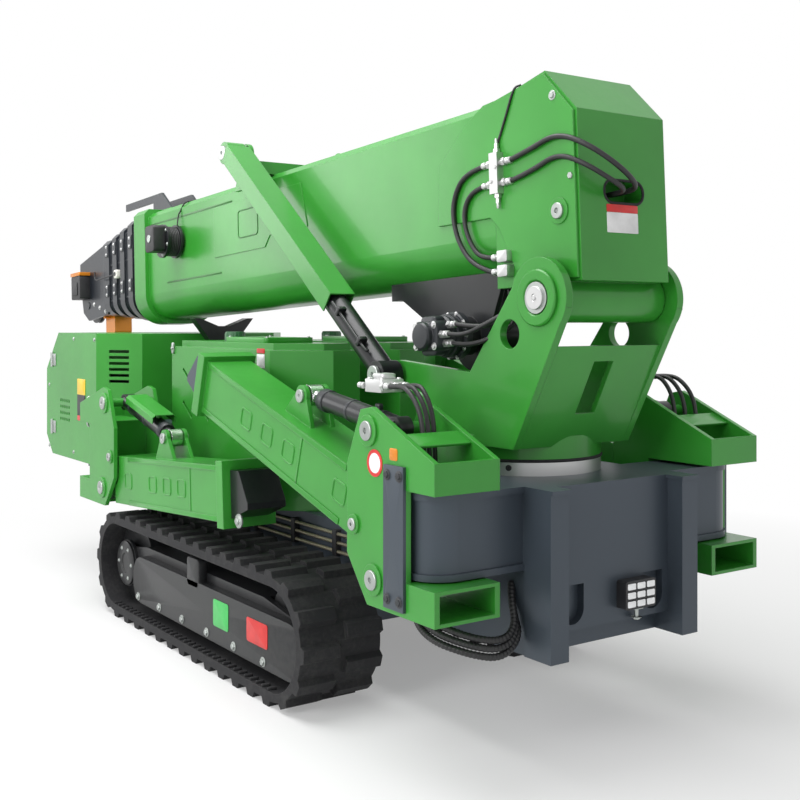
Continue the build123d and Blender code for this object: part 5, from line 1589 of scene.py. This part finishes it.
def add_bead(store: MeshStore, place: Array, width: float, height: float, corner: float, radius: float) -> None:
    """Adds a round bead that follows a rounded rectangle.

    Args:
        store: Where its surface goes.
        place: Matrix of the rectangle's middle.
        width: Size along the matrix's X.
        height: Size along its Y.
        corner: Corner radius.
        radius: Radius of the bead.
    """
    outline = round_outline(width, height, corner, 5)
    path = np.column_stack([outline, np.zeros(len(outline))])
    before, after = np.roll(path, 1, axis=0), np.roll(path, -1, axis=0)
    along = after - before
    along /= np.linalg.norm(along, axis=1, keepdims=True)
    up = np.array((0.0, 0.0, 1.0))
    out = np.cross(along, up)
    turn = np.linspace(0.0, 2.0 * np.pi, 8, endpoint=False)
    ring = out[:, None] * np.cos(turn)[None, :, None] + up * np.sin(turn)[None, :, None]
    store.put(path[:, None] + radius * ring, place, wrap_u=True)


@dataclass
class BoomEnd:
    """Wear pads, rails and plug of the inner sections, and the switch box on the head."""

    section_ends: tuple[float, ...] = (3.930, 4.120, 4.310, 4.500)
    half_width: float = 0.210
    step: float = 0.020
    collar_proud: float = 0.013
    pad_heights: tuple[float, ...] = (0.600, 0.330)
    cheek_y: float = 0.1225
    box_place: tuple[float, float] = (4.945, 0.385)
    box_size: tuple[float, float, float] = (0.175, 0.165, 0.075)

    def build(self) -> None:
        """Makes the pieces of every section and of the head."""
        for number, end in enumerate(self.section_ends):
            self._section(number + 2, end, self.half_width - (number + 1) * self.step)
        self._plug()
        self._head()

    def _section(self, number: int, end: float, half: float) -> None:
        """Bolted pads on a section's collar and rails on its bare part."""
        pads, bolts = MeshStore(), MeshStore()
        for side in Side:
            out = (0.0, side.value, 0.0)
            collar = side.value * (half + self.collar_proud)
            for n in self.pad_heights:
                place = BOOM.frame(end - 0.035, collar - side.value * SEAT, n, out)
                add_plate(pads, place, (0.052, 0.085, 0.006), 0.006)
                heads = [BOOM.point(end - 0.035, collar + side.value * 0.005, n + dn) for dn in (-0.026, 0.026)]
                add_bolts(bolts, [(head, out) for head in heads], 0.0075)
            for n in (0.500, 0.262):
                place = BOOM.frame(end - 0.128, side.value * (half - SEAT), n, out)
                add_plate(pads, place, (0.112, 0.010, 0.006), 0.003)
        pads.build(f"section_pads_{number}", Finish.BOOM_DARK, f"boom_section_{number}")
        bolts.build(f"section_bolts_{number}", Finish.STEEL, f"boom_section_{number}")

    def _plug(self) -> None:
        """Pale guide roller with a dark middle and its thin rod, on the fourth section."""
        roller, dark = MeshStore(), MeshStore()
        place = BOOM.frame(4.215, -0.1495, 0.425)
        roller.put(slab(round_outline(0.052, 0.056, 0.012), 0.0, 0.034, 0.005), place)
        roller.build("guide_roller", Finish.BONE, "boom_section_4")
        dark.put(spin([(0.014, 0.033), (0.014, 0.037), (0.0, 0.037)], 20), place)
        path = [BOOM.point(4.235, -0.172, 0.425), BOOM.point(4.40, -0.178, 0.418), BOOM.point(4.56, -0.178, 0.412)]
        path += [BOOM.point(4.60, -0.178, 0.425), BOOM.point(4.605, -0.178, 0.470)]
        dark.put(rod(flowing(path, 8), 0.005, 8), np.eye(4))
        dark.build("guide_roller_rod", Finish.PLASTIC, "boom_section_4")

    def _head(self) -> None:
        """Switch box with its orange lid, its lamp and the screws of the head's cheeks."""
        s, n = self.box_place
        y = -self.cheek_y
        length, height, depth = self.box_size
        box, lid, bolts = MeshStore(), MeshStore(), MeshStore()
        place = BOOM.frame(s, y, n)
        add_plate(box, place, (length, height, depth), 0.014)
        add_plate(box, BOOM.frame(s + 0.01, y - depth + 0.001, n - 0.01), (0.110, 0.090, 0.008), 0.010)
        box.build("switch_box", Finish.PLASTIC, "boom_section_5")
        top = basis(BOOM.point(s, y - depth / 2, n + height / 2 - 0.001), BOOM.square, (0.0, 1.0, 0.0))
        add_plate(lid, top, (length + 0.014, depth + 0.012, 0.024), 0.008)
        lid.build("switch_box_lid", Finish.ORANGE, "boom_section_5")
        for side in Side:
            out = (0.0, side.value, 0.0)
            heads = [BOOM.point(4.56 + 0.11 * i, side.value * self.cheek_y, 0.20 + 0.03 * i) for i in range(3)]
            add_bolts(bolts, [(head, out) for head in heads], 0.011)
        bolts.build("head_bolts", Finish.STEEL, "boom_section_5")


@dataclass
class LuffingGear:
    """Pin ends and feed pipes of the two luffing cylinders."""

    foot: tuple[float, float] = (1.635, 1.290)
    eye: tuple[float, float] = (0.285, 2.330)
    y: float = 0.350

    def build(self) -> None:
        """Makes the pieces of both cylinders."""
        ends, feet, pipes = MeshStore(), MeshStore(), MeshStore()
        lean = np.array((self.eye[0] - self.foot[0], 0.0, self.eye[1] - self.foot[1]))
        lean /= np.linalg.norm(lean)
        for side in Side:
            out = (0.0, side.value, 0.0)
            cap = spin(cap_profile(0.036, 0.016, 0.010), 28)
            ends.put(cap, basis((self.eye[0], side.value * 0.3975, self.eye[1]), out))
            feet.put(cap, basis((self.foot[0], side.value * 0.3995, self.foot[1]), out))
            base = np.array((self.foot[0], side.value * (self.y + 0.0455), self.foot[1])) + (0.026, 0.0, 0.032)
            raised = np.array((0.0, side.value * 0.012, 0.0))
            path = [base + 0.10 * lean] + [base + reach * lean + raised for reach in (0.115, 0.25, 0.425)]
            pipes.put(rod(flowing(path, 8), 0.006, 10), np.eye(4))
            for reach in (0.16, 0.36):
                clamp = np.array((self.foot[0], side.value * (self.y + 0.030), self.foot[1]))
                clamp = clamp + reach * lean + (0.026, 0.0, 0.032)
                add_plate(pipes, basis(clamp, out, lean), (0.040, 0.020, 0.038), 0.004)
        ends.build("luff_eye_pins", Finish.PIN_STEEL, "luff_rods")
        feet.build("luff_foot_pins", Finish.PIN_STEEL, "turret")
        pipes.build("luff_pipes", Finish.BLACK, "luff_barrels", 50.0)


@dataclass(frozen=True)
class ArmRow:
    """Measures that both outriggers of one end share, folded; lengths run from the arm's pin."""

    king_x: float
    pitch_degrees: float
    low: float
    high: float
    length: float
    pockets: tuple[float, ...]
    seam: float
    cylinder_z: float
    eye: tuple[float, float]


ROWS = {
    End.FRONT: ArmRow(2.355, 16.2, 0.060, 0.289, 1.540, (0.326, 0.712, 0.890, 1.073), 0.625, 1.132, (0.756, 0.383)),
    End.REAR: ArmRow(-0.525, 3.7, -0.075, 0.165, 1.410, (0.295, 0.607, 0.777, 0.941), 1.036, 1.076, (0.638, 0.262)),
}
KING_Y = 0.630
ARM_PIN = (0.160, 0.635)
CYLINDER_U = 0.190


@dataclass(frozen=True)
class Corner:
    """One folded outrigger, with its own places: u from the kingpin, v outwards, z up."""

    end: End
    side: Side

    @property
    def tag(self) -> str:
        """Name of the corner as the bodies spell it."""
        return f"{self.end.tag}_{self.side.tag}"

    @property
    def row(self) -> ArmRow:
        """Measures of this corner's end."""
        return ROWS[self.end]

    @property
    def pitch(self) -> float:
        """Slope of the folded arm in radians."""
        return math.radians(self.row.pitch_degrees)

    @property
    def cylinder_pin(self) -> tuple[float, float]:
        """Bracket pin of the cylinder as (u, z)."""
        return (CYLINDER_U, self.row.cylinder_z)

    @property
    def cylinder_eye(self) -> tuple[float, float]:
        """Arm pin of the cylinder as (u, z)."""
        return self.on_arm(*self.row.eye)

    def on_arm(self, reach: float, rise: float) -> tuple[float, float]:
        """Point of the arm as (u, z), from its reach along and its rise above the pin's line."""
        cos, sin = math.cos(self.pitch), math.sin(self.pitch)
        return ARM_PIN[0] + reach * cos - rise * sin, ARM_PIN[1] + reach * sin + rise * cos

    def point(self, u: float, v: float, z: float) -> Array:
        """Point of the row frame, from u away from the kingpin along the machine and v outwards."""
        return np.array((self.row.king_x + self.end.value * u, self.side.value * (KING_Y + v), z))

    @property
    def out(self) -> Array:
        """Outward direction."""
        return np.array((0.0, self.side.value, 0.0))

    def heading(self, angle: float) -> Array:
        """Direction along the machine, raised by an angle in radians."""
        return np.array((self.end.value * math.cos(angle), 0.0, math.sin(angle)))


@dataclass
class Outriggers:
    """Pins, strips, signs, guards and hoses of the four outriggers."""

    plate_v: float = 0.149
    arm_v: float = 0.120
    cylinder_v: float = 0.0175

    def build(self) -> None:
        """Makes the pieces of every corner."""
        for end in End:
            for side in Side:
                corner = Corner(end, side)
                self._pins(corner)
                self._arm(corner)
                self._cylinder(corner)
                if end is End.FRONT:
                    self._strip(corner)
                    self._manifold(corner)
                    self._cover(corner)
                else:
                    self._guard(corner)
                    self._foot(corner)
        self._signs(Corner(End.FRONT, Side.RIGHT))

    def _pins(self, corner: Corner) -> None:
        """Bosses on the bracket's outer plate with bright pin ends."""
        places = ((*ARM_PIN, 0.054), (*corner.cylinder_pin, 0.054), (0.278, 0.805, 0.034))
        bosses, caps = MeshStore(), MeshStore()
        for u, z, radius in places:
            foot = corner.point(u, self.plate_v - SEAT, z)
            bosses.put(spin(cap_profile(radius, 0.0085), 32), basis(foot, corner.out))
            caps.put(spin(cap_profile(0.63 * radius, 0.0165, 0.2 * radius), 28), basis(foot, corner.out))
        bosses.build(f"pin_bosses_{corner.tag}", Finish.GREEN, f"bracket_{corner.tag}")
        caps.build(f"pin_ends_{corner.tag}", Finish.PIN_STEEL, f"bracket_{corner.tag}")

    def _arm(self, corner: Corner) -> None:
        """Edge strips, a seam and pressed pockets on the arm's outer face, and its eye pin."""
        low, high, length = corner.row.low, corner.row.high, corner.row.length
        along = corner.heading(corner.pitch)
        up = np.array((-corner.end.value * math.sin(corner.pitch), 0.0, math.cos(corner.pitch)))
        strips, marks = MeshStore(), MeshStore()
        start = 0.300
        middle = (start + length) / 2
        for rise in (low + 0.012, high - 0.012):
            place = basis(corner.point(*self._arm_place(corner, middle, rise)), corner.out, up)
            add_plate(strips, place, (length - start, 0.024, 0.0045), 0.004)
        place = basis(corner.point(*self._arm_place(corner, corner.row.seam, (low + high) / 2)), corner.out, up)
        add_plate(strips, place, (0.010, high - low - 0.050, 0.0030), 0.003)
        strips.build(f"arm_strips_{corner.tag}", Finish.GREEN, f"arm_{corner.tag}")
        for reach in corner.row.pockets:
            place = basis(corner.point(*self._arm_place(corner, reach, (low + high) / 2)), corner.out, up)
            add_bead(marks, place, 0.086, 0.076, 0.016, 0.0045)
        marks.build(f"arm_pockets_{corner.tag}", Finish.GREEN, f"arm_{corner.tag}", 60.0)
        pin = MeshStore()
        u, z = corner.cylinder_eye
        for v in (0.0725, -0.0375):
            out = corner.out * (1.0 if v > 0.0 else -1.0)
            pin.put(spin(cap_profile(0.026, 0.010, 0.008), 24), basis(corner.point(u, v, z), out))
        pin.build(f"arm_eye_pin_{corner.tag}", Finish.PIN_STEEL, f"arm_{corner.tag}")

    def _arm_place(self, corner: Corner, reach: float, rise: float) -> tuple[float, float, float]:
        """Point (u, v, z) on the arm's outer face."""
        u, z = corner.on_arm(reach, rise)
        return u, self.arm_v - SEAT, z

    def _line(self, corner: Corner) -> tuple[Array, Array, Array, float]:
        """Start, direction, upward square and length of the cylinder."""
        first = corner.point(corner.cylinder_pin[0], self.cylinder_v, corner.cylinder_pin[1])
        last = corner.point(corner.cylinder_eye[0], self.cylinder_v, corner.cylinder_eye[1])
        length = float(np.linalg.norm(last - first))
        along = (last - first) / length
        up = np.array((-along[2], 0.0, along[0])) * (1.0 if along[0] > 0.0 else -1.0)
        return first, along, up, length

    def _cylinder(self, corner: Corner) -> None:
        """Gland nut at the barrel's mouth, two bands and the port on its upper side."""
        first, along, up, length = self._line(corner)
        gland = MeshStore()
        mouth = first + (length - 0.084) * along
        profile = [(0.041, -0.045), (0.044, -0.042), (0.044, -0.006), (0.040, 0.0), (0.0265, 0.0)]
        gland.put(spin(profile, 28), basis(mouth, along))
        for reach in (0.10, 0.30):
            band = [(0.0395, -0.008), (0.0425, -0.006), (0.0425, 0.006), (0.0395, 0.008)]
            gland.put(spin(band, 28), basis(first + reach * along, along))
        gland.put(spin(cap_profile(0.016, 0.020), 6), basis(first + 0.14 * along + 0.038 * up, up))
        gland.build(f"cylinder_bands_{corner.tag}", Finish.CAST, f"cylinder_barrel_{corner.tag}")

    def _strip(self, corner: Corner) -> None:
        """Dark bolted strip down the bracket's outer plate."""
        strip, bolts = MeshStore(), MeshStore()
        x_middle, z_low, z_high = 0.027, 0.562, 1.032
        foot = corner.point(x_middle, self.plate_v - SEAT, (z_low + z_high) / 2)
        add_plate(strip, basis(foot, corner.out), (0.114, z_high - z_low, 0.0125), 0.004)
        strip.build(f"bracket_strip_{corner.tag}", Finish.GREY, f"bracket_{corner.tag}")
        heads = [(x_middle + du, z) for du in (-0.034, 0.034) for z in (z_low + 0.032, z_high - 0.032)]
        add_bolts(bolts, [(corner.point(u, self.plate_v + 0.0118, z), corner.out) for u, z in heads], 0.013)
        bolts.build(f"bracket_strip_bolts_{corner.tag}", Finish.CAST, f"bracket_{corner.tag}")

    def _signs(self, corner: Corner) -> None:
        """Blank round sign with a red rim and a small blank orange plate."""
        place = basis(corner.point(0.150, self.plate_v - SEAT, 1.027), corner.out)
        white, red, orange = MeshStore(), MeshStore(), MeshStore()
        white.put(spin([(0.036, 0.0), (0.036, 0.0020), (0.0, 0.0020)], 40), place)
        red.put(spin([(0.034, 0.0), (0.046, 0.0), (0.046, 0.0024), (0.034, 0.0024)], 40), place, wrap_u=True)
        white.build(f"bracket_sign_white_{corner.tag}", Finish.WHITE, f"bracket_{corner.tag}")
        red.build(f"bracket_sign_red_{corner.tag}", Finish.RED, f"bracket_{corner.tag}")
        place = basis(corner.point(0.040, self.plate_v - SEAT, 1.066), corner.out)
        add_plate(orange, place, (0.046, 0.040, 0.002), 0.008)
        orange.build(f"bracket_sign_orange_{corner.tag}", Finish.ORANGE, f"bracket_{corner.tag}")

    def _manifold(self, corner: Corner) -> None:
        """Hose manifold on a strap over the bracket's lug, with its fittings and three hoses."""
        strap, steel = MeshStore(), MeshStore()
        bends = ((0.170, -0.084, 1.150), (0.200, -0.084, 1.235), (0.330, -0.060, 1.262))
        line = [corner.point(*bend) for bend in bends]
        strap.put(rod(flowing(line, 8), 0.012, 8), np.eye(4))
        strap.build(f"manifold_strap_{corner.tag}", Finish.GREEN, f"bracket_{corner.tag}")
        middle = corner.point(0.330, -0.010, 1.250)
        away = corner.heading(0.0)
        up = np.array((0.0, 0.0, 1.0))
        place = basis(middle, up, corner.out)
        add_plate(steel, place, (0.110, 0.100, 0.046), 0.010)
        steel.put(slab(round_outline(0.070, 0.060, 0.012), 0.045, 0.066, 0.004), place)
        signs = [(sx, sy) for sx in (-1, 1) for sy in (-1, 1)]
        heads = [middle + 0.046 * up + 0.040 * sx * away + 0.036 * sy * corner.out for sx, sy in signs]
        add_bolts(steel, [(head, up) for head in heads], 0.008)
        maker = HoseMaker()
        for number, across in enumerate((-0.034, 0.004, 0.042)):
            back = -away
            port = corner.point(0.276, across - 0.008, 1.274)
            sleeve = MeshStore()
            add_fitting(sleeve, port, back, 0.0125)
            end = sleeve.build(f"manifold_hose_end_{number + 1}_{corner.tag}", Finish.STEEL, f"bracket_{corner.tag}")
            start = port + 0.046 * back
            route = [
                start,
                start + 0.050 * back + (0.0, 0.0, 0.006),
                corner.point(0.130 - 0.010 * number, across, 1.272),
                corner.point(0.075 - 0.020 * number, across, 1.200),
                corner.point(0.060 - 0.020 * number, across, 1.080),
                corner.point(0.058 - 0.020 * number, across, 0.977),
            ]
            name = f"manifold_hose_{number + 1}_{corner.tag}"
            maker.build(name, route[::-1], 0.0085, f"bracket_{corner.tag}", fitting=end)
            side_port = corner.point(0.385, across - 0.008, 1.272)
            add_fitting(steel, side_port, away, 0.0105)
        steel.build(f"manifold_{corner.tag}", Finish.STEEL, f"bracket_{corner.tag}")

    def _cover(self, corner: Corner) -> None:
        """Sloping sheet between the bracket's two plates, just below their upper edge."""
        low = corner.point(-0.060, self.cylinder_v, 1.092)
        high = corner.point(0.015, self.cylinder_v, 1.126)
        along = (high - low) / np.linalg.norm(high - low)
        up = np.cross(along, corner.out)
        up *= np.sign(up[2])
        sheet = MeshStore()
        add_plate(sheet, basis((low + high) / 2, up, corner.out), (0.082, 0.222, 0.008), 0.003)
        sheet.build(f"bracket_sheet_{corner.tag}", Finish.GREEN, f"bracket_{corner.tag}")

    def _guard(self, corner: Corner) -> None:
        """Folded sheet over the cylinder: a channel section carried along it."""
        first, along, up, length = self._line(corner)
        across, rise, skirt, wall = 0.062, 0.074, 0.030, 0.004
        outer = [(-across, skirt), (-across, rise - 0.012), (-across + 0.014, rise)]
        outer += [(across - 0.014, rise), (across, rise - 0.012), (across, skirt)]
        inner = [(across - wall, skirt), (across - wall, rise - 0.014), (across - 0.016, rise - wall)]
        inner += [(-across + 0.016, rise - wall), (-across + wall, rise - 0.014), (-across + wall, skirt)]
        section = np.array(outer + inner)
        reach = np.array([0.115, 0.470])
        store = MeshStore()
        body = first + reach[:, None, None] * along + section[None, :, :1] * corner.out + section[None, :, 1:] * up
        for foot in (first + 0.170 * along, first + 0.400 * along):
            store.put(rod(np.array([foot + 0.036 * up, foot + 0.072 * up]), 0.012), np.eye(4))
        store.grid(body, wrap_v=True)
        count = len(outer)
        for end in body:
            store.grid(np.stack([end[:count], end[count:][::-1]]))
        store.build(f"cylinder_guard_{corner.tag}", Finish.GREEN, f"cylinder_barrel_{corner.tag}")

    def _foot(self, corner: Corner) -> None:
        """Bright bolt and washer on the foot at the beam's end."""
        bolts = MeshStore()
        foot = np.array((1.128, corner.side.value * 0.7365, 0.672))
        bolts.put(spin(cap_profile(0.030, 0.008), 28), basis(foot, corner.out))
        add_bolts(bolts, [(foot + 0.007 * corner.out, corner.out)], 0.016)
        bolts.build(f"foot_bolt_{corner.tag}", Finish.PIN_STEEL, f"beam_{corner.tag}")


def main() -> None:
    """Dresses the crane and its studio."""
    logging.basicConfig(level=logging.INFO)
    CadFinishes().dress()
    Tracks().build()
    ChassisFittings().build()
    Bodywork().build()
    TurretFittings().build()
    Winch().build()
    BoomFittings().build()
    BoomPlates().build()
    BoomHoses().build()
    BoomEnd().build()
    LuffingGear().build()
    Outriggers().build()
    Studio().build()


if __name__ == "__main__":
    main()
